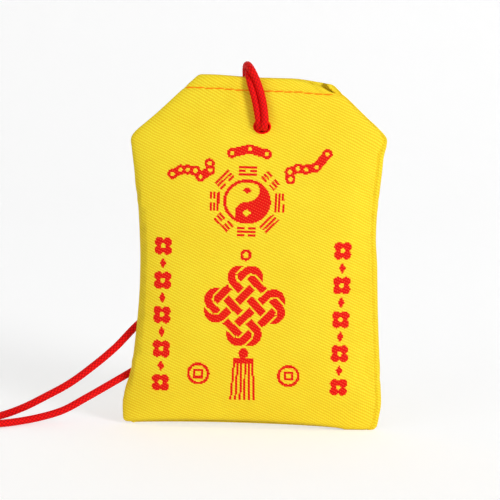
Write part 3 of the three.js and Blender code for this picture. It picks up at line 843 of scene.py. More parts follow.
def tube_frames(path):
    """Two directions square to the path at each point, turning no more than the path does."""
    tangent = np.gradient(path, axis=0)
    tangent /= np.linalg.norm(tangent, axis=1)[:, None]
    side = np.cross(tangent[0], TUBE_SIDE)
    sides = []
    for direction in tangent:
        side = side - direction * (side @ direction)
        side /= np.linalg.norm(side)
        sides.append(side)
    sides = np.array(sides)
    return sides, np.cross(tangent, sides)


def tube_piece(name, path, radius, materials, sides=24, relief=None, rounded=(False, False)):
    """A tube along a path. relief gives the share that its radius grows by at (angle, distance along)."""
    radii = np.full(len(path), float(radius))
    dome = np.radians(DOME_ANGLES)
    for is_round in rounded:
        # Turned round twice, so that each end comes last once
        path, radii = path[::-1], radii[::-1]
        if is_round:
            away = path[-1] - path[-2]
            tip = path[-1] + np.outer(np.sin(dome) * radius, away / np.linalg.norm(away))
            path = np.vstack([path, tip])
            radii = np.append(radii, np.cos(dome) * radius)
    first, second = tube_frames(path)
    walked = along_path(path)
    angle = 2 * math.pi * np.arange(sides) / sides
    reach = np.repeat(radii[:, None], sides, 1)
    if relief is not None:
        reach = reach * (1 + relief(angle[None, :], walked[:, None]))
    points = (
        path[:, None]
        + first[:, None] * (reach * np.cos(angle))[..., None]
        + second[:, None] * (reach * np.sin(angle))[..., None]
    )
    quads, corner_row, corner_column = grid_faces(len(path), sides, closed=True)
    around = corner_column / sides * 2 * math.pi * radius
    chart = np.stack([around, walked[corner_row]], -1).reshape(-1, 2)
    chart = np.vstack([chart, np.zeros((2 * sides, 2))])
    return new_piece(name, points, [*quads, *end_caps(len(path), sides)], materials, chart)


# The braid's relief as a share of the cord's radius, its carriers, and the spacing of a cord's rings
BRAID_RELIEF = 0.07
BRAID_CARRIERS = 6
BRAID_SPACING = 0.2


def braid_relief(plait):
    """Plump crossings of the braid's carriers."""
    def relief(angle, along):
        row = math.pi * along / plait
        rising = np.cos(BRAID_CARRIERS / 2 * angle + row)
        falling = np.cos(BRAID_CARRIERS / 2 * angle - row)
        return BRAID_RELIEF * (2 * np.sqrt(np.abs(rising * falling)) - 1)

    return relief


def cord_piece(name, path, scene, rounded=(False, False)):
    cord = scene.pouch_cord
    return tube_piece(
        name,
        spaced(path, BRAID_SPACING),
        cord.diameter / MM / 2,
        [cord_material(scene.pouch_colours, cord)],
        relief=braid_relief(cord.plait / MM),
        rounded=rounded,
    )


# The woven figure on the front, in millimetres across and up the front panel

WHEEL_MIDDLE = (-2.7, 58.9)
WHEEL_SQUASH = 0.93
TAIJI_RADIUS = 6.05
TAIJI_RING = 0.85
TAIJI_DOT = (1.15, 1.0)
TRIGRAM_RADIUS = 8.2
TRIGRAM_LENGTH = 4.75
TRIGRAM_PITCH = 0.92
TRIGRAM_BAR = 0.58
TRIGRAM_BREAK = 1.0
# Later Heaven order, clockwise from the top; lines from the inner one out, 1 whole and 0 broken
TRIGRAMS = [(1, 0, 1), (0, 0, 0), (1, 1, 0), (1, 1, 1), (0, 1, 0), (0, 0, 1), (1, 0, 0), (0, 1, 1)]
STAR_CHAINS = [
    [
        (-21.7, 65.3), (-19.7, 66.4), (-17.9, 66.5), (-15.9, 66.3),
        (-14.6, 64.8), (-12.2, 66.5), (-12.4, 68.2),
    ],
    [(-6.8, 71.0), (-2.3, 72.1), (2.0, 70.9)],
    [(8.1, 64.8), (7.9, 66.6), (9.9, 67.5), (12.0, 67.3), (14.6, 68.0), (17.3, 71.3)],
]
STAR_RADIUS = 1.3
STAR_HOLE = 0.52
CHAIN_WIDTH = 2.3

KNOT_MIDDLE = (-2.6, 32.4)
KNOT_LATTICE = 4.1
KNOT_STROKE = 2.0
KNOT_CROSSING = 0.45
KNOT_LOOP_REACH = 1.5
# Middle, radius and hole of each bead
BEADS = [((-2.6, 45.4), 1.5, 0.7), ((-2.6, 20.2), 1.3, 0.0)]
TASSEL_TOP = 18.2
TASSEL_FOOT = 8.0
TASSEL_STRANDS = 6
# Spacing of the strands at the top and at the foot
TASSEL_SPREAD = (0.92, 1.2)
TASSEL_STROKE = 0.58
TASSEL_CAP = (2.6, 0.8)

COINS = [(-14.0, 14.6), (9.0, 14.6)]
COIN_RADIUS = 2.9
COIN_RIM = 0.75
COIN_HOLE = 0.95
COIN_HOLE_RIM = 0.6
FLOWER_COLUMNS = (-23.6, 21.9)
FLOWER_HEIGHTS = (47.0, 38.2, 29.4, 20.6, 11.8)
PETAL_RADIUS = 1.2
PETAL_REACH = 1.45
PETAL_HEART = 0.6
LOZENGE = (0.9, 1.5)


def stroke(x, z, points, width):
    """Distance to a bent line of some width, less than 0 inside it."""
    best = np.full(x.shape, np.inf)
    for (x0, z0), (x1, z1) in zip(points, points[1:]):
        dx, dz = x1 - x0, z1 - z0
        t = np.clip(((x - x0) * dx + (z - z0) * dz) / (dx * dx + dz * dz), 0, 1)
        best = np.minimum(best, np.hypot(x - x0 - t * dx, z - z0 - t * dz))
    return best - width / 2


def disc(x, z, middle, radius):
    return np.hypot(x - middle[0], z - middle[1]) - radius


def bar(x, z, half_x, half_z):
    return np.maximum(np.abs(x) - half_x, np.abs(z) - half_z)


def lozenge(x, z, middle, half_x, half_z):
    return np.abs(x - middle[0]) / half_x + np.abs(z - middle[1]) / half_z - 1


def taiji(x, z):
    """The two interlocked halves in their ring."""
    half = TAIJI_RADIUS / 2
    upper = disc(x, z, (0, half), half)
    lower = disc(x, z, (0, -half), half)
    filled = np.minimum(np.maximum(-x, -upper), lower)
    filled = np.maximum(filled, disc(x, z, (0, 0), TAIJI_RADIUS))
    ring = np.abs(disc(x, z, (0, 0), TAIJI_RADIUS - TAIJI_RING / 2)) - TAIJI_RING / 2
    filled = np.minimum(filled, ring)
    filled = np.maximum(filled, -lozenge(x, z, (0, -half), *TAIJI_DOT))
    return np.minimum(filled, lozenge(x, z, (0, half), *TAIJI_DOT))


def trigram(x, z, lines):
    """Three bars, whole or broken, the first one inwards."""
    found = []
    for level, whole in enumerate(lines):
        line = bar(x, z - (level - 1) * TRIGRAM_PITCH, TRIGRAM_LENGTH / 2, TRIGRAM_BAR / 2)
        found.append(line if whole else np.maximum(line, TRIGRAM_BREAK / 2 - np.abs(x)))
    return np.minimum.reduce(found)


def wheel(x, z):
    """The eight trigrams round the taiji, woven a little flat."""
    x, z = x - WHEEL_MIDDLE[0], z - WHEEL_MIDDLE[1]
    found = [taiji(x, z / WHEEL_SQUASH)]
    for place, lines in enumerate(TRIGRAMS):
        angle = math.pi / 4 * place
        s, c = math.sin(angle), math.cos(angle)
        across, up = x - TRIGRAM_RADIUS * s, z - TRIGRAM_RADIUS * WHEEL_SQUASH * c
        found.append(trigram(across * c - up * s, across * s + up * c, lines))
    return np.minimum.reduce(found)


def star_chain(x, z, stars):
    """Pierced stars on a broad line."""
    chain = [stroke(x, z, stars, CHAIN_WIDTH), *(disc(x, z, star, STAR_RADIUS) for star in stars)]
    holes = [disc(x, z, star, STAR_HOLE) for star in stars]
    return np.maximum(np.minimum.reduce(chain), -np.minimum.reduce(holes))


def lattice_knot(x, z):
    """Two pairs of long loops laced over and under each other, standing on a corner."""
    x, z = x - KNOT_MIDDLE[0], z - KNOT_MIDDLE[1]
    s, t = (x + z) * math.sqrt(0.5), (z - x) * math.sqrt(0.5)
    p = KNOT_LATTICE
    reach = KNOT_LOOP_REACH * p

    def loops(along, across):
        lines = [[(-reach, offset), (reach, offset)] for offset in (-p, p)]
        middle_lines = [np.abs(stroke(along, across, line, p)) for line in lines]
        return np.minimum.reduce(middle_lines) - KNOT_STROKE / 2

    rising, falling = loops(s, t), loops(t, s)
    over = (np.floor(s / p) + np.floor(t / p)) % 2 < 1
    rising_cut = np.where(over, rising, np.maximum(rising, KNOT_CROSSING - falling))
    falling_cut = np.where(over, np.maximum(falling, KNOT_CROSSING - rising), falling)
    return np.minimum(rising_cut, falling_cut)


def tassel(x, z):
    """A cap with spreading strands."""
    x = x - KNOT_MIDDLE[0]
    found = [bar(x, z - TASSEL_TOP, *TASSEL_CAP)]
    for place in np.arange(TASSEL_STRANDS) - (TASSEL_STRANDS - 1) / 2:
        top, foot = (place * spacing for spacing in TASSEL_SPREAD)
        found.append(stroke(x, z, [(top, TASSEL_TOP), (foot, TASSEL_FOOT)], TASSEL_STROKE))
    return np.minimum.reduce(found)


def bead(x, z, middle, radius, hole):
    return np.maximum(disc(x, z, middle, radius), -disc(x, z, middle, hole))


def coin(x, z, middle):
    """A round coin with a square hole, each with a raised rim."""
    x, z = x - middle[0], z - middle[1]
    rim = np.abs(disc(x, z, (0, 0), COIN_RADIUS - COIN_RIM / 2)) - COIN_RIM / 2
    hole_rim = np.abs(bar(x, z, COIN_HOLE, COIN_HOLE)) - COIN_HOLE_RIM / 2
    return np.minimum(rim, hole_rim)


def flower(x, z, middle):
    """Four round petals about an open heart."""
    angles = [math.pi / 4 + math.pi / 2 * quarter for quarter in range(4)]
    tips = [(middle[0] + PETAL_REACH * math.cos(t), middle[1] + PETAL_REACH * math.sin(t)) for t in angles]
    petals = np.minimum.reduce([disc(x, z, tip, PETAL_RADIUS) for tip in tips])
    return np.maximum(petals, -disc(x, z, middle, PETAL_HEART))


def figure(x, z):
    """True where the woven figure lies."""
    found = [wheel(x, z), lattice_knot(x, z), tassel(x, z)]
    found += [bead(x, z, *form) for form in BEADS]
    found += [star_chain(x, z, stars) for stars in STAR_CHAINS]
    found += [coin(x, z, middle) for middle in COINS]
    gaps = [(low + high) / 2 for low, high in zip(FLOWER_HEIGHTS, FLOWER_HEIGHTS[1:])]
    for column in FLOWER_COLUMNS:
        found += [flower(x, z, (column, height)) for height in FLOWER_HEIGHTS]
        found += [lozenge(x, z, (column, height), *LOZENGE) for height in gaps]
    return np.minimum.reduce(found) < 0


# Panels

SEAM_SHIFT = 1.3
SEAM_SHIFT_AT_SHOULDER = 0.3
SEAM_GROOVE = 0.6
SEAM_GROOVE_WIDTH = 0.4
SEAM_PUCKER = 0.16
SEAM_PUCKER_PITCH = 4.6
# Uneven pitch of the puckers: how far they drift, in radians, and over which height
SEAM_PUCKER_DRIFT = 0.8
SEAM_PUCKER_DRIFT_HEIGHT = 7.0
SHOULDER_FADE = 4.0
BASE_SEAM_HEIGHT = 0.45
BASE_SEAM_SHARE = 0.2
STITCH_SINK = 0.2
STITCH_SINK_WIDTH = 0.5
CORD_DIP = 0.4
CORD_DIP_WIDTH = 2.3
CORD_BULGE = 0.2
CORD_BULGE_PLACE = 4.6
CORD_BULGE_WIDTH = 2.2
# Heights above the eyelets at which the cord's pull on the cloth sets in and lets go
CORD_HOLD = (-1.0, 3.5)
CORD_RELEASE = (7.5, 12.0)
CORD_SLANT = math.tan(math.radians(HITCH_LEAN))
FIGURE_RELIEF = 0.05
CORNER_DROP = {FRONT: 1.9, BACK: 1.2}
CORNER_DROP_FROM = 7.0
CORNER_DROP_TO = 17.5
CORNER_DROP_FADE = 5.0
MOUTH_LIFT = 0.5
MOUTH_LIFT_REACH = 14.0
CORNER_PULL = {FRONT: -0.8, BACK: 1.2}
CORNER_GAPE = {FRONT: 0.5, BACK: 1.6}
CORNER_CURL = {FRONT: 0.0, BACK: 2.6}
CORNER_RIM = 1.8
CORNER_CURL_WIDTH = 0.6
CORNER_PULL_FADE = 4.5
LIFT_SHARE = {FRONT: 1.0, BACK: 0.55}
# How far the left and right sides lie to the right of the plain outline, by height
left_side = cubic_profile([
    (-1, -0.2), (4.6, -0.5), (8, -0.3), (14, 0.3), (22, 0.45), (32, 0.5),
    (42, 0.3), (50, 0), (58, -0.1), (74, 0), (80, 0.4), (84, 0.6), (91, 1.0),
])
right_side = cubic_profile([
    (-1, -0.9), (4.6, 0.05), (8, 0.6), (14, 0.9), (22, 1.2), (33, 1.25), (42, 1.15), (50, 0.5), (58, 0.15),
    (68, -0.3), (71, -0.5), (73.5, -0.3), (76, 0.75), (78, 0.95), (81, 0.7), (84, 0.6), (91, 0.4),
])
SECTION_STEPS = 241
HEM_ARC_STEPS = 6
INNER_STEP = 4

# Runs of the panels' columns and rows, with their spacing
FRONT_COLUMNS = graded((1.6, 0.16), (4.4, 0.4), (56, 0.3), (4.4, 0.4), (1.6, 0.16))
FRONT_ROWS = graded((1.2, 0.12), (6, 0.4), (66, 0.3), (12.6, 0.4), (3.6, 0.24))
BACK_COLUMNS = graded((1.6, 0.16), (64.8, 0.6), (1.6, 0.16))
BACK_ROWS = graded((1.2, 0.12), (84.6, 0.6), (3.6, 0.24))


class Panel:
    """One side of the pouch: its cloth's middle line runs from the right-hand seam to the left-hand one."""

    def __init__(self, shape, side, columns, rows, filling=None):
        self.shape = shape
        self.side = side
        self.filling = filling
        self.shares = columns / columns[-1]
        self.heights = rows * (shape.height - shape.cloth) / rows[-1]

    def edge(self, z):
        """Half the plain width at height z."""
        return float(self.shape.half_width(np.array(z)))

    def near_mouth(self, z):
        """0 below the mouth's corner and 1 at the mouth."""
        return smooth_step(z, self.shape.height - CORNER_PULL_FADE, self.shape.height)

    def row(self, z, inset):
        """Points across the panel at height z, and how far along the cloth each is from the middle line."""
        shape = self.shape
        fade = smooth_step(z, shape.shoulder_height - SHOULDER_FADE, shape.shoulder_height + SHOULDER_FADE)
        shift = SEAM_SHIFT + (SEAM_SHIFT_AT_SHOULDER - SEAM_SHIFT) * fade
        edge = math.acos(1 - shift / self.edge(z))
        first = edge if self.side == FRONT else math.pi + edge
        turns = first + math.pi * np.linspace(0, 1, SECTION_STEPS)
        x, y = shape.section(z, turns, inset)
        walked = along_path(np.stack([x, y], 1))
        turn = np.interp(self.shares * walked[-1], walked, turns)
        middle = np.interp(math.pi / 2 if self.side == FRONT else 3 * math.pi / 2, turns, walked)
        x, y = shape.section(z, turn, inset)
        flat = self.shares * walked[-1] - middle
        seam = np.minimum(self.shares, 1 - self.shares) * walked[-1]
        out_x, out_y = shape.outward(z, x, y)
        swell = self.swell(x, z, seam)
        if self.filling is not None:
            swell = swell + self.filling.stand_off(self.side, self.shares, z)
        across = x + out_x * swell + self.pull(x, z)
        through = y + out_y * swell + self.gape(x, z)
        return np.stack([across, through, z + self.rise(x, z)], 1), flat

    def rise(self, x, z):
        """How far a point lies above its plain height: the arched base and the uneven mouth."""
        top = self.shape.height
        drop = CORNER_DROP[self.side] * smooth_step(x, CORNER_DROP_FROM, CORNER_DROP_TO)
        drop = drop * smooth_step(z, top - CORNER_DROP_FADE, top)
        lift = MOUTH_LIFT * smooth_step(-x, 0, MOUTH_LIFT_REACH)
        lift = lift * smooth_step(z, top - 2 * CORNER_DROP_FADE, top)
        return LIFT_SHARE[self.side] * self.shape.lift(x, z) + lift - drop

    def pull(self, x, z):
        """How far a point lies to the right of its plain place: the sides, and the mouth's right corner."""
        edge = self.edge(z)
        corner = CORNER_PULL[self.side] * self.near_mouth(z)
        left, right = smooth_step(-x, 0, edge), smooth_step(x, 0, edge)
        return left * left_side(z) + right * (right_side(z) + corner)

    def gape(self, x, z):
        """How far the mouth's right corner stands open on this side, less its edge's curl to the other."""
        edge = self.edge(z)
        rim = edge - CORNER_RIM
        apart = CORNER_GAPE[self.side] * smooth_step(x, edge - CORNER_PULL_FADE, rim - CORNER_CURL_WIDTH)
        curl = CORNER_CURL[self.side] * smooth_step(x, rim - CORNER_CURL_WIDTH, rim)
        return self.side * self.near_mouth(z) * (apart - curl)

    def swell(self, x, z, seam):
        """How far the cloth stands out of the plain pouch at its seams, its hem stitching and the cord."""
        shape = self.shape
        drift = SEAM_PUCKER_DRIFT * math.sin(z / SEAM_PUCKER_DRIFT_HEIGHT)
        pucker = 1 + SEAM_PUCKER * math.sin(2 * math.pi * z / SEAM_PUCKER_PITCH + drift)
        groove = -SEAM_GROOVE * pucker * np.exp(-((seam / SEAM_GROOVE_WIDTH) ** 2))
        stitch_z = shape.height - shape.stitch_drop
        sink = -STITCH_SINK * math.exp(-(((z - stitch_z) / STITCH_SINK_WIDTH) ** 2))
        up = z - shape.eyelet_height
        from_cord = np.abs(x + CORD_SLANT * up)
        held = smooth_step(up, *CORD_HOLD) * (1 - smooth_step(up, *CORD_RELEASE))
        dip = -CORD_DIP * np.exp(-((from_cord / CORD_DIP_WIDTH) ** 2))
        beside = CORD_BULGE * np.exp(-(((from_cord - CORD_BULGE_PLACE) / CORD_BULGE_WIDTH) ** 2))
        return groove + sink + held * (dip + beside)

    def build(self, name, materials, with_figure):
        """The closed cloth wall: outside, hem turned over, inside, seams and base."""
        shape = self.shape
        arc = np.pi * np.arange(1, HEM_ARC_STEPS) / HEM_ARC_STEPS
        outer_rows = [(z, 0.0) for z in self.heights]
        top = self.heights[-1]
        hem_rows = [(top + shape.cloth * math.sin(t), shape.cloth * (1 - math.cos(t))) for t in arc]
        picks = list(range(len(outer_rows) - 1, 0, -INNER_STEP)) + [0]
        layers = np.where(self.heights > shape.height - shape.hem, 2, 1)
        inner_rows = [(max(self.heights[i], shape.cloth), layers[i] * shape.cloth) for i in picks]
        rows = [self.row(z, inset) for z, inset in outer_rows + hem_rows + inner_rows]
        grid, flats = (np.array(found) for found in zip(*rows))
        seam_row = grid[:1] * (1, BASE_SEAM_SHARE, 1) + (0, 0, BASE_SEAM_HEIGHT)
        grid = np.vstack([seam_row, grid])
        flats = np.vstack([flats[:1], flats])
        count, columns = grid.shape[:2]
        climbs = along_path(grid[:, columns // 2])
        if with_figure:
            grid, figured = self.weave_figure(grid, len(outer_rows) + 1)
        quads, _, _ = grid_faces(count, columns)
        last = (count - 1) * columns
        base = [[last + c, last + c + 1, c + 1, c] for c in range(columns - 1)]
        ends = self.seam_ends(len(outer_rows), len(hem_rows), picks, columns)
        faces = [*quads, *base, *ends]
        row, column = np.divmod(face_corners(faces), columns)
        chart = np.stack([-flats[row, column], climbs[row]], 1)
        piece = closed_piece(name, grid, faces, materials, chart)
        if with_figure:
            index = np.zeros(len(piece.data.polygons), np.int32)
            index[: len(figured)] = figured
            piece.data.polygons.foreach_set("material_index", index)
        return piece

    def seam_ends(self, outer, hem, picks, columns):
        """Faces that close the cloth along both side seams, from the base seam up and over the hem."""
        ends = []
        inner_first = 1 + outer + hem
        for column in (0, columns - 1):
            strips = [list(range(outer, inner_first + 1))]
            for k, (high, low) in enumerate(zip(picks, picks[1:])):
                strips.append([*range(low + 1, high + 2), inner_first + k, inner_first + k + 1])
            strips.append([0, 1, inner_first + len(picks) - 1])
            for strip in strips:
                face = [r * columns + column for r in strip]
                ends.append(face if column == 0 else face[::-1])
        return ends

    def weave_figure(self, grid, outer):
        """Mark the faces of the woven figure and raise it a little."""
        middle = (grid[:-1, :-1] + grid[1:, :-1] + grid[:-1, 1:] + grid[1:, 1:]) / 4
        marked = figure(middle[..., 0], middle[..., 2])
        marked[outer - 1:] = False
        marked[:1] = False
        raised = np.zeros(grid.shape[:2])
        raised[1:-1, 1:-1] = marked[:-1, :-1] & marked[1:, :-1] & marked[:-1, 1:] & marked[1:, 1:]
        grid = grid.copy()
        grid[..., 1] += self.side * FIGURE_RELIEF * raised
        return grid, marked.ravel().astype(np.int32)


# Half the width and height of each eyelet ring's middle line, and its place across and up from the axis
RING_FORM = {FRONT: (2.02, 1.66, 0.6, -0.22), BACK: (2.15, 1.3, 0.0, 0.0)}
BORE_SIDES = 48


def bore_eyelet(piece, shape, side):
    """Cut the eyelet through a panel, along the middle of its ring."""
    half_x, half_z, across, up = RING_FORM[side]
    bpy.ops.mesh.primitive_cylinder_add(vertices=BORE_SIDES, radius=MM, depth=shape.depth * MM)
    tool = bpy.context.object
    tool.rotation_euler.x = math.pi / 2
    tool.scale = (half_x, half_z, 1)
    tool.location = (across * MM, side * shape.depth / 2 * MM, (shape.eyelet_height + up) * MM)
    bpy.context.view_layer.update()
    cut = piece.modifiers.new("Eyelet", "BOOLEAN")
    cut.object = tool
    cut.solver = "EXACT"
    bored = bpy.data.meshes.new_from_object(piece.evaluated_get(bpy.context.evaluated_depsgraph_get()))
    plain = piece.data
    piece.modifiers.clear()
    piece.data = bored
    bored.name = piece.name
    bpy.data.meshes.remove(plain)
    bpy.data.objects.remove(tool)


# The simulation of the filled cloth, at ten times its size, and where its swell fades in and out
FILLING_SCALE = 10.0
FILLING_FOOT = 1.0
FILLING_TOP = 72.0
FILLING_ROWS = 52
FILLING_COLUMNS = 44
FILLING_FRAMES = 24
FILLING_QUALITY = 6
FILLING_PRESSURE = 4.0
FILLING_EASE = 0.03
FILLING_RISE = 0.9
FILLING_BACK_RISE = 0.03
FILLING_SINK = 0.3
FILLING_FADE = (2.0, 14.0)
FILLING_SETTLE = (56.0, 69.0)


class Filling:
    """How far the filled cloth stands off the plain pouch, found by a cloth simulation."""

    def __init__(self, shape):
        self.heights = np.linspace(FILLING_FOOT, FILLING_TOP, FILLING_ROWS)
        self.shares = np.linspace(0, 1, FILLING_COLUMNS + 1)
        sides = [Panel(shape, side, self.shares, self.heights) for side in (FRONT, BACK)]
        rows = [[side.row(z, 0.0)[0][:-1] for side in sides] for z in self.heights]
        start = np.array([np.vstack(row) for row in rows])
        out = np.stack(shape.outward(self.heights[:, None], start[..., 0], start[..., 1]), -1)
        moved = self.simulate(start, self.held(start)) - start
        stand = np.clip((moved[..., :2] * out).sum(-1), -FILLING_SINK, FILLING_RISE)
        full = smooth_step(self.heights, *FILLING_FADE)
        full = full * (1 - smooth_step(self.heights, *FILLING_SETTLE))
        stand = stand * full[:, None]
        stand = np.concatenate([stand, stand[:, :1]], 1)
        back = np.minimum(stand[:, FILLING_COLUMNS:], FILLING_BACK_RISE)
        self.stand = {FRONT: stand[:, : FILLING_COLUMNS + 1], BACK: back}

    def held(self, points):
        """True where a point is held: at the base, above the filling and at the seams."""
        held = np.zeros(points.shape[:2], bool)
        held[[0, -1]] = True
        held[:, [0, FILLING_COLUMNS]] = True
        return held

    def simulate(self, start, held):
        """Points of the closed cloth after its filling has pressed it out for some frames."""
        scene = bpy.context.scene
        scale = FILLING_SCALE * MM
        rows, columns = start.shape[:2]
        quads, _, _ = grid_faces(rows, columns, closed=True)
        mesh = bpy.data.meshes.new("filling")
        mesh.from_pydata((start.reshape(-1, 3) * scale).tolist(), [], quads.tolist())
        cloth = bpy.data.objects.new("filling", mesh)
        scene.collection.objects.link(cloth)
        face_outwards(cloth)
        cloth.vertex_groups.new(name="Held").add(np.flatnonzero(held).tolist(), 1.0, "REPLACE")
        modifier = cloth.modifiers.new("Filling", "CLOTH")
        modifier.collision_settings.use_collision = False
        settings = modifier.settings
        settings.quality = FILLING_QUALITY
        settings.vertex_group_mass = "Held"
        settings.use_pressure = True
        settings.uniform_pressure_force = FILLING_PRESSURE
        settings.shrink_min = -FILLING_EASE
        settings.effector_weights.gravity = 0
        for moment in range(1, FILLING_FRAMES + 1):
            scene.frame_set(moment)
        shaped = cloth.evaluated_get(bpy.context.evaluated_depsgraph_get()).data
        found = np.empty(len(shaped.vertices) * 3)
        shaped.vertices.foreach_get("co", found)
        scene.frame_set(1)
        bpy.data.objects.remove(cloth)
        bpy.data.meshes.remove(mesh)
        return found.reshape(start.shape) / scale

    def stand_off(self, side, shares, z):
        """How far one panel stands off its plain shape at height z, at shares of its width."""
        place = np.interp(z, self.heights, np.arange(FILLING_ROWS))
        low = min(int(place), FILLING_ROWS - 2)
        rows = self.stand[side][low:low + 2]
        return np.interp(shares, self.shares, rows[0] + (rows[1] - rows[0]) * (place - low))


def panel_of(scene, side, filling=None):
    """The panel of one side at the scene's sizes."""
    shape = PouchShape(scene.pouch_sizes)
    columns, rows = (FRONT_COLUMNS, FRONT_ROWS) if side == FRONT else (BACK_COLUMNS, BACK_ROWS)
    return Panel(shape, side, columns, rows, filling)


SIDE_NAMES = {FRONT: "front", BACK: "back"}


class POUCH_OT_panels(bpy.types.Operator):
    """Make the front and back panels of brocade"""

    bl_idname = "pouch.panels"
    bl_label = "Panels"

    def execute(self, context):
        scene = context.scene
        colours = scene.pouch_colours
        binding = colours.binding
        # The groove colours are painted shade in the weave's grooves
        ground = brocade_material("Brocade ground", colours.ground_rib, colours.ground_groove_shade, binding)
        red = brocade_material("Brocade figure", colours.figure_rib, colours.figure_groove_shade, binding)
        filling = Filling(PouchShape(scene.pouch_sizes))
        for side, name in SIDE_NAMES.items():
            panel = panel_of(scene, side, filling)
            materials = [ground, red] if side == FRONT else [ground]
            piece = panel.build(f"{name}_panel_cloth", materials, side == FRONT)
            bore_eyelet(piece, panel.shape, side)
            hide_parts(f"{name}_panel")
            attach(piece, "pouch")
        return {"FINISHED"}


STITCH_RADIUS = 0.17
STITCH_SHARE = 0.94
STITCH_MARGIN = 0.7
STITCH_SLANT = 0.16
STITCH_WANDER = 0.06
STITCH_WANDER_TURN = 2.4
STITCH_ARCH = 1.15
STITCH_DEPTH = 0.75
STITCH_STEPS = 9
STITCH_SIDES = 10


class POUCH_OT_hem_stitches(bpy.types.Operator):
    """Sew the hems with a running stitch"""

    bl_idname = "pouch.hem_stitches"
    bl_label = "Hem stitches"

    def execute(self, context):
        scene = context.scene
        colour = scene.pouch_colours.stitch
        # The darker thread colour is painted shade between the thread's yarns
        thread = kept_material("Hem thread", thread_material, colour, darker(colour, HEM_SHADE), HEM_YARN)
        for side, name in SIDE_NAMES.items():
            panel = panel_of(scene, side)
            piece = self.sew(panel, f"{name}_hem_stitches", thread)
            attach(piece, "pouch")
        return {"FINISHED"}

    def sew(self, panel, name, thread):
        """A row of stitches, each an arched thread whose ends go into the cloth."""
        shape = panel.shape
        points, _ = panel.row(shape.height - shape.stitch_drop, 0.0)
        points = points[np.argsort(points[:, 0])]
        reach = points[-1, 0] - STITCH_MARGIN
        share = np.linspace(0, 1, STITCH_STEPS)
        arch = STITCH_ARCH * np.sin(math.pi * share) - STITCH_DEPTH
        pieces = []
        for i in range(int(2 * reach / shape.stitch_length)):
            start = -reach + i * shape.stitch_length
            x = start + share * shape.stitch_length * STITCH_SHARE
            path = np.stack([np.interp(x, points[:, 0], points[:, k]) for k in range(3)], 1)
            path[:, 1] += panel.side * STITCH_RADIUS * arch
            path[:, 2] += STITCH_SLANT * (share - 0.5) + STITCH_WANDER * math.sin(STITCH_WANDER_TURN * i)
            pieces.append(
                tube_piece(f"{name}_{i}", path, STITCH_RADIUS, [thread], STITCH_SIDES, rounded=(True, True))
            )
        return joined(pieces, name)


def joined(pieces, name):
    """Several objects as one mesh."""
    with bpy.context.temp_override(active_object=pieces[0], selected_editable_objects=pieces):
        bpy.ops.object.join()
    pieces[0].name = name
    pieces[0].data.name = name
    return pieces[0]


RING_HALF_THICKNESS = 0.32
RING_HALF_DEPTH = 0.62
RING_WRAPS = 34
RING_WRAP_STEPS = 6
RING_WRAP_RELIEF = 0.24
RING_WRAP_POWER = 0.6
# Place on the thread, in millimetres, for each step round a wrap and each step round the ring
RING_CHART = (0.2, 0.08)
RING_SIDES = 14


class POUCH_OT_eyelets(bpy.types.Operator):
    """Overcast the eyelets with red thread"""

    bl_idname = "pouch.eyelets"
    bl_label = "Eyelets"

    def execute(self, context):
        scene = context.scene
        colour = scene.pouch_colours.cord_light
        # The darker thread colour is painted shade between the overcast wraps
        thread = kept_material(
            "Eyelet thread", thread_material, colour, darker(colour, EYELET_SHADE), EYELET_YARN
        )
        shape = PouchShape(scene.pouch_sizes)
        for side, name in SIDE_NAMES.items():
            piece = self.overcast(shape, side, f"{name}_eyelet_ring", thread)
            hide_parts(f"{name}_eyelet")
            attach(piece, "pouch")
        return {"FINISHED"}

    def overcast(self, shape, side, name, thread):
        """A ring of thread wrapped round the cut edge, each wrap lying slantwise beside the last."""
        rings = RING_WRAPS * RING_WRAP_STEPS
        sides = RING_SIDES
        angle = 2 * math.pi * np.arange(rings)[:, None] / rings
        section = 2 * math.pi * np.arange(sides)[None, :] / sides
        wrap = np.abs(np.cos((RING_WRAPS * angle + section) / 2))
        plump = 1 - RING_WRAP_RELIEF + RING_WRAP_RELIEF * wrap**RING_WRAP_POWER
        out = RING_HALF_THICKNESS * plump * np.cos(section)
        depth = RING_HALF_DEPTH * plump * np.sin(section)
        middle = side * (EYELET_HALF_DEPTH - shape.cloth / 2)
        half_x, half_z, across, up = RING_FORM[side]
        x = across + (half_x + out) * np.sin(angle)
        z = up + (half_z + out) * np.cos(angle)
        points = np.stack([x, middle + depth + side * self.tilt(shape) * z, shape.eyelet_height + z], -1)
        quads, corner_row, corner_column = grid_faces(rings + 1, sides, closed=True)
        chart = np.stack([corner_column, corner_row], -1) * RING_CHART
        return closed_piece(name, points, quads % (rings * sides), [thread], chart)

    def tilt(self, shape):
        """Slope of the cloth at the eyelet, as depth by height."""
        low, high = shape.half_depth(np.array([shape.eyelet_height - 1, shape.eyelet_height + 1]))
        return (high - low) / 2


class POUCH_OT_hitch(bpy.types.Operator):
    """Pass the doubled cord over the mouth in a cow hitch"""

    bl_idname = "pouch.hitch"
    bl_label = "Hitch"

    def execute(self, context):
        scene = context.scene
        paths = CordPaths(scene.pouch_cord, PouchShape(scene.pouch_sizes))
        piece = cord_piece("hitch_cord", paths.hitch(), scene)
        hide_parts("cord_hitch")
        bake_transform(piece)
        return {"FINISHED"}


BAND_WIDTH = 9.0
BAND_MARGIN = 0.3
BAND_THICKNESS = 0.12
BAND_ROUND_STEPS = 8
BAND_ROWS = 10
BAND_DROP_SHARE = 0.26


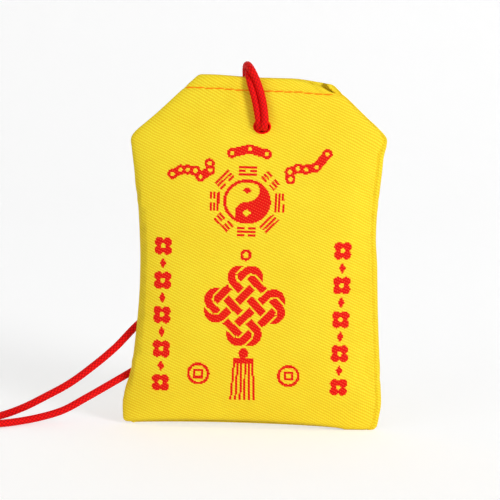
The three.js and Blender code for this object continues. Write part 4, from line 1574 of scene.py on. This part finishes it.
class POUCH_OT_strands(bpy.types.Operator):
    """Lay the two free strands, their hank with its paper band, and the end knot"""

    bl_idname = "pouch.strands"
    bl_label = "Strands"

    def execute(self, context):
        scene = context.scene
        shape = PouchShape(scene.pouch_sizes)
        paths = CordPaths(scene.pouch_cord, shape)
        knot = cord_piece("end_knot_cord", paths.knot(), scene, rounded=(True, True))
        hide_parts("end_knot")
        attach(knot, "pouch")
        band = self.band(paths, scene.pouch_colours)
        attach(band, "pouch")
        for name, hand, route in (("upper", -1, UPPER_ROUTE), ("lower", 1, LOWER_ROUTE)):
            path = paths.strand(hand, route)
            piece = cord_piece(f"{name}_strand_cord", path, scene, rounded=(False, True))
            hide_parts(f"{name}_strand", f"{name}_strand_coil")
            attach(piece, "pouch")
        return {"FINISHED"}

    def band(self, paths, colours):
        """A strip of paper round the hank, lower over the climbing run than over the double one."""
        reach = paths.pitch / 2 + paths.radius + BAND_MARGIN
        near, far = paths.end_y - reach, paths.coil_y + paths.coil_radius(1) + reach
        foot = paths.lie - paths.radius
        tall = paths.lie + paths.pitch + paths.radius + BAND_MARGIN
        low = tall - paths.pitch * BAND_DROP_SHARE
        bend = paths.radius
        corners = [
            (near + bend, foot + bend, math.pi),
            (far - bend, foot + bend, 1.5 * math.pi),
            (far - bend, low - bend, 0),
            (near + bend, tall - bend, 0.5 * math.pi),
        ]
        quarter = np.linspace(0, math.pi / 2, BAND_ROUND_STEPS)
        loops = []
        for bow in (bend, bend + BAND_THICKNESS):
            arcs = [
                np.stack([y + bow * np.cos(first + quarter), z + bow * np.sin(first + quarter)], 1)
                for y, z, first in corners
            ]
            loops.append(np.maximum(np.vstack(arcs), (-np.inf, 0.0)))
        inner, outer = loops
        middle = paths.coil_x + COIL_STRAIGHT / 2
        stations = np.linspace(middle - BAND_WIDTH / 2, middle + BAND_WIDTH / 2, BAND_ROWS)
        rows = [(x, outer) for x in stations] + [(x, inner) for x in stations[::-1]]
        grid = np.array([np.insert(loop, 0, x, axis=1) for x, loop in rows])
        count, columns = grid.shape[:2]
        quads, corner_row, corner_column = grid_faces(count + 1, columns, closed=True)
        walked = along_path(np.vstack([outer, outer[:1]]))
        chart = np.stack([walked[corner_column], corner_row * BAND_WIDTH / BAND_ROWS], -1)
        paper = kept_fibre("Band paper", colours.band, BAND_SHADE, PAPER_FIBRE)
        return closed_piece("hank_band", grid, quads % (count * columns), [paper], chart)


WADDING_LIFT = 5.0
WADDING_INSET = 1.0
WADDING_FLAT = 1.45
WADDING_COLUMNS = 61
WADDING_ROWS = 71
WADDING_LUMPS = 0.18
# Waves of the lumps, as radians per millimetre across and up
WADDING_WAVES = ((0.9, 0.35), (-0.4, 0.53))
WADDING_EDGE_POWER = 0.35


class POUCH_OT_wadding(bpy.types.Operator):
    """Fill the pouch with two pads of cotton wadding"""

    bl_idname = "pouch.wadding"
    bl_label = "Wadding"

    def execute(self, context):
        scene = context.scene
        colour = scene.pouch_colours.wadding
        cotton = kept_fibre("Cotton wadding", colour, WADDING_SHADE, WADDING_FIBRE)
        shape = PouchShape(scene.pouch_sizes)
        for side, name in SIDE_NAMES.items():
            piece = self.pad(shape, side, f"{name}_wadding_pad", cotton)
            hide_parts(f"{name}_wadding")
            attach(piece, "pouch")
        return {"FINISHED"}

    def pad(self, shape, side, name, cotton):
        """A crowned pad, lumpy on the outside and nearly flat against the paper."""
        share = (1 - np.cos(np.linspace(0, math.pi, WADDING_ROWS))) / 2
        heights = WADDING_LIFT + (WADDING_TOP - WADDING_LIFT) * share
        turns = np.linspace(0, 2 * math.pi, 2 * WADDING_COLUMNS, endpoint=False)
        rows = []
        for z in heights:
            a = float(shape.half_width(z)) - WADDING_INSET
            b = float(shape.half_depth(z)) - WADDING_INSET
            x = a * np.cos(turns) * math.sqrt(1 - (WADDING_FLAT / b) ** 2)
            crown = b * np.sqrt(1 - np.abs(x / a) ** SECTION_FULLNESS) - WADDING_FLAT
            waves = [np.sin(across * x + up * z) for across, up in WADDING_WAVES]
            lumps = waves[0] * waves[1] * WADDING_LUMPS
            over = np.clip(np.sin(turns), 0, 1) ** WADDING_EDGE_POWER
            depth = WADDING_FLAT + np.maximum(crown - WADDING_LUMPS + lumps, 0) * over
            rows.append(np.stack([x, side * depth, np.full_like(x, z)], 1))
        grid = np.array(rows)
        count, columns = grid.shape[:2]
        quads, _, _ = grid_faces(count, columns, closed=True)
        faces = [*quads, *end_caps(count, columns)]
        chart = grid.reshape(-1, 3)[face_corners(faces)][:, (0, 2)]
        return closed_piece(name, grid, faces, [cotton], chart)


PAPER_THICKNESS = 0.28
PAPER_WAVE = 0.05
PAPER_WAVE_RISE = 6.0
PAPER_WAVE_RUN = 5.0
PAPER_ROWS = 24
PAPER_FOLD_STEPS = 10
PAPER_LAYERS = 4
PAPER_PITCH = 0.65
PAPER_RUN_STEPS = 24


class POUCH_OT_amulet(bpy.types.Operator):
    """Fold the paper amulet that stands inside"""

    bl_idname = "pouch.amulet"
    bl_label = "Paper amulet"

    def execute(self, context):
        paper = kept_fibre("Amulet paper", context.scene.pouch_colours.paper, PAPER_SHADE, PAPER_FIBRE)
        low, high = (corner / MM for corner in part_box("folded_amulet"))
        line = self.fan_line(low, high)
        piece = self.fold(line, low.z, high.z, paper)
        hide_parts("folded_amulet")
        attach(piece, "amulet")
        return {"FINISHED"}

    def fan_line(self, low, high):
        """The paper's middle line seen from above: layers joined by round folds at alternate ends."""
        bend = PAPER_PITCH / 2
        reach = (high.x - low.x) / 2 - bend - PAPER_THICKNESS / 2
        middle = (low.y + high.y) / 2
        points = []
        for layer in range(PAPER_LAYERS):
            y = middle + (layer - (PAPER_LAYERS - 1) / 2) * PAPER_PITCH
            way = -1 if layer % 2 else 1
            run = np.linspace(-way * reach, way * reach, PAPER_RUN_STEPS)
            points.extend((x, y) for x in run)
            if layer < PAPER_LAYERS - 1:
                angles = np.linspace(-math.pi / 2, math.pi / 2, PAPER_FOLD_STEPS)[1:-1]
                points.extend(
                    (way * (reach + bend * math.cos(t)), y + bend + bend * math.sin(t)) for t in angles
                )
        return np.array(points)

    def fold(self, line, foot, top, paper):
        """The folded sheet with its thickness, a little wavy towards its top edge."""
        tangent = np.gradient(line, axis=0)
        tangent /= np.linalg.norm(tangent, axis=1)[:, None]
        normal = np.stack([-tangent[:, 1], tangent[:, 0]], 1)
        walked = along_path(line)
        half = PAPER_THICKNESS / 2
        loop = np.vstack([line + normal * half, (line - normal * half)[::-1]])
        distance = np.append(walked, walked[::-1])
        heights = np.linspace(foot, top, PAPER_ROWS)
        grid = []
        for z in heights:
            ripple = PAPER_WAVE * math.sin(z / PAPER_WAVE_RISE) * np.sin(loop[:, 0] / PAPER_WAVE_RUN)
            grid.append(np.stack([loop[:, 0], loop[:, 1] + ripple, np.full(len(loop), z)], 1))
        grid = np.array(grid)
        count, columns = grid.shape[:2]
        quads, _, _ = grid_faces(count, columns, closed=True)
        edges = []
        for r in (0, count - 1):
            for c in range(columns // 2 - 1):
                edge = [r * columns + k for k in (c, c + 1, columns - 2 - c, columns - 1 - c)]
                edges.append(edge if r else edge[::-1])
        faces = [*quads, *edges]
        row, column = np.divmod(face_corners(faces), columns)
        chart = np.stack([distance[column], heights[row]], 1)
        return closed_piece("paper_amulet", grid, faces, [paper], chart)


# Stage

SENSOR = 36.0
CLIP_START = 0.01
SHIFT = (-0.0126, 0.0082)
FLOOR_SINK = 0.03
FLOOR_WIDTH = 6.0
FLOOR_FRONT = -3.0
COVE_START = 0.45
COVE_RADIUS = 0.5
COVE_HEIGHT = 2.5
COVE_STEPS = 24
# Share of the lamps' light that the camera sees on the backdrop, beside the backdrop's glow
LIT_SHARE = 0.58
BACKDROP_SHADE = 0.985
# Name, place, aim and size in metres, and the setting that holds the power
LAMPS = [
    ("Key light", (0.85, -0.95, 0.5), (0, 0, 0.05), 0.5, "key_power"),
    ("Fill light", (-0.8, -0.95, 0.35), (0, 0, 0.05), 0.9, "fill_power"),
    ("Backdrop light", (0.4, 0.15, 0.6), (0.4, 0.9, 0.3), 0.5, "backdrop_power"),
]


def seen_by_camera(tree):
    """1 for rays from the camera, straight or by way of metal or glass, and 0 for the rest."""
    path = node(tree, "LightPath").outputs
    seen = calculate(tree, "MAXIMUM", path["Is Camera Ray"], path["Is Glossy Ray"])
    return calculate(tree, "MAXIMUM", seen, path["Is Transmission Ray"])


class POUCH_OT_stage(bpy.types.Operator):
    """Place the camera, the backdrop and the lights"""

    bl_idname = "pouch.stage"
    bl_label = "Stage"

    def execute(self, context):
        scene = context.scene
        stage = scene.pouch_stage
        scene.view_settings.view_transform = "Standard"
        self.camera(scene, stage)
        self.backdrop(stage)
        self.light(scene, stage)
        return {"FINISHED"}

    def camera(self, scene, stage):
        """The photograph's view, straight on and a little from above."""
        data = bpy.data.cameras.new("Camera")
        data.sensor_width = SENSOR
        data.lens = stage.lens
        data.shift_x, data.shift_y = SHIFT
        data.clip_start = CLIP_START
        data.dof.use_dof = False
        down, roll = stage.elevation, stage.roll
        forward = Vector((0, math.cos(down), -math.sin(down)))
        right = Vector((1, 0, 0))
        up = Vector((0, math.sin(down), math.cos(down)))
        level = math.cos(roll) * right + math.sin(roll) * up
        upright = math.cos(roll) * up - math.sin(roll) * right
        camera = bpy.data.objects.new("Camera", data)
        camera.matrix_world = Matrix((level, upright, -forward)).transposed().to_4x4()
        camera.location = Vector((0, 0, stage.target_height)) - forward * stage.distance
        scene.collection.objects.link(camera)
        scene.camera = camera

    def backdrop(self, stage):
        """A floor that curves up into the backdrop."""
        turn = np.linspace(0, math.pi / 2, COVE_STEPS)
        profile = [(FLOOR_FRONT, 0.0), (0.0, 0.0)]
        profile += [(COVE_START + COVE_RADIUS * math.sin(t), COVE_RADIUS * (1 - math.cos(t))) for t in turn]
        profile += [(COVE_START + COVE_RADIUS, COVE_HEIGHT)]
        places = [(x, y, z) for y, z in profile for x in (-FLOOR_WIDTH / 2, FLOOR_WIDTH / 2)]
        points = np.array(places) / MM - (0, 0, FLOOR_SINK)
        quads, _, _ = grid_faces(len(profile), 2)
        material, tree, shader = new_material("Backdrop paper", Roughness=0.9)
        grain = node(tree, "TexNoise", Scale=900.0, Detail=3.0)
        pale = rgba(stage.backdrop)
        shade = mix_colours(tree, grain.outputs["Fac"], rgba(darker(stage.backdrop, BACKDROP_SHADE)), pale)
        seen = seen_by_camera(tree)
        lit = mix_colours(tree, seen, shade, rgba((LIT_SHARE,) * 3), "MULTIPLY")
        tree.links.new(lit, shader.inputs["Base Color"])
        tree.links.new(shade, shader.inputs["Emission Color"])
        tree.links.new(calculate(tree, "MULTIPLY", seen, stage.glow), shader.inputs["Emission Strength"])
        new_piece("backdrop", points, quads, [material])

    def light(self, scene, stage):
        """Two soft lamps in front, one that faces the backdrop and an even sky."""
        for name, place, aim, size, power in LAMPS:
            data = bpy.data.lights.new(name, "AREA")
            data.shape = "DISK"
            data.size = size
            data.energy = getattr(stage, power)
            lamp = bpy.data.objects.new(name, data)
            lamp.location = place
            lamp.rotation_euler = (Vector(aim) - Vector(place)).to_track_quat("-Z", "Y").to_euler()
            scene.collection.objects.link(lamp)
        world = bpy.data.worlds.new("Studio")
        world.use_nodes = True
        tree = world.node_tree
        sky = tree.nodes["Background"].inputs
        sky["Color"].default_value = (1, 1, 1, 1)
        tree.links.new(spread(tree, seen_by_camera(tree), stage.sky, 1.0), sky["Strength"])
        scene.world = world


class POUCH_PT_pieces(bpy.types.Panel):
    """Sizes and colours of the pouch, and its pieces in the order they are made"""

    bl_idname = "POUCH_PT_pieces"
    bl_label = "Amulet pouch"
    bl_space_type = "VIEW_3D"
    bl_region_type = "UI"
    bl_category = "Pouch"

    def draw(self, context):
        for name in PROPERTY_GROUPS:
            group = getattr(context.scene, name)
            box = self.layout.box()
            for prop in type(group).__annotations__:
                box.prop(group, prop)
        for operator in PIECES:
            self.layout.operator(operator.bl_idname)


PROPERTY_GROUPS = {
    "pouch_sizes": PouchSizes,
    "pouch_cord": CordSizes,
    "pouch_colours": PouchColours,
    "pouch_stage": StageSettings,
}
PIECES = (
    POUCH_OT_stage,
    POUCH_OT_strands,
    POUCH_OT_hitch,
    POUCH_OT_panels,
    POUCH_OT_eyelets,
    POUCH_OT_hem_stitches,
    POUCH_OT_wadding,
    POUCH_OT_amulet,
)
CLASSES = (*PROPERTY_GROUPS.values(), *PIECES, POUCH_PT_pieces)


def register():
    for item in CLASSES:
        bpy.utils.register_class(item)
    for name, group in PROPERTY_GROUPS.items():
        setattr(bpy.types.Scene, name, PointerProperty(type=group))


def unregister():
    for name in PROPERTY_GROUPS:
        delattr(bpy.types.Scene, name)
    for item in reversed(CLASSES):
        bpy.utils.unregister_class(item)


def main():
    register()
    bpy.ops.pouch.stage()
    bpy.ops.pouch.strands()
    bpy.ops.pouch.hitch()
    bpy.ops.pouch.panels()
    bpy.ops.pouch.eyelets()
    bpy.ops.pouch.hem_stitches()
    bpy.ops.pouch.wadding()
    bpy.ops.pouch.amulet()


if __name__ == "__main__":
    main()
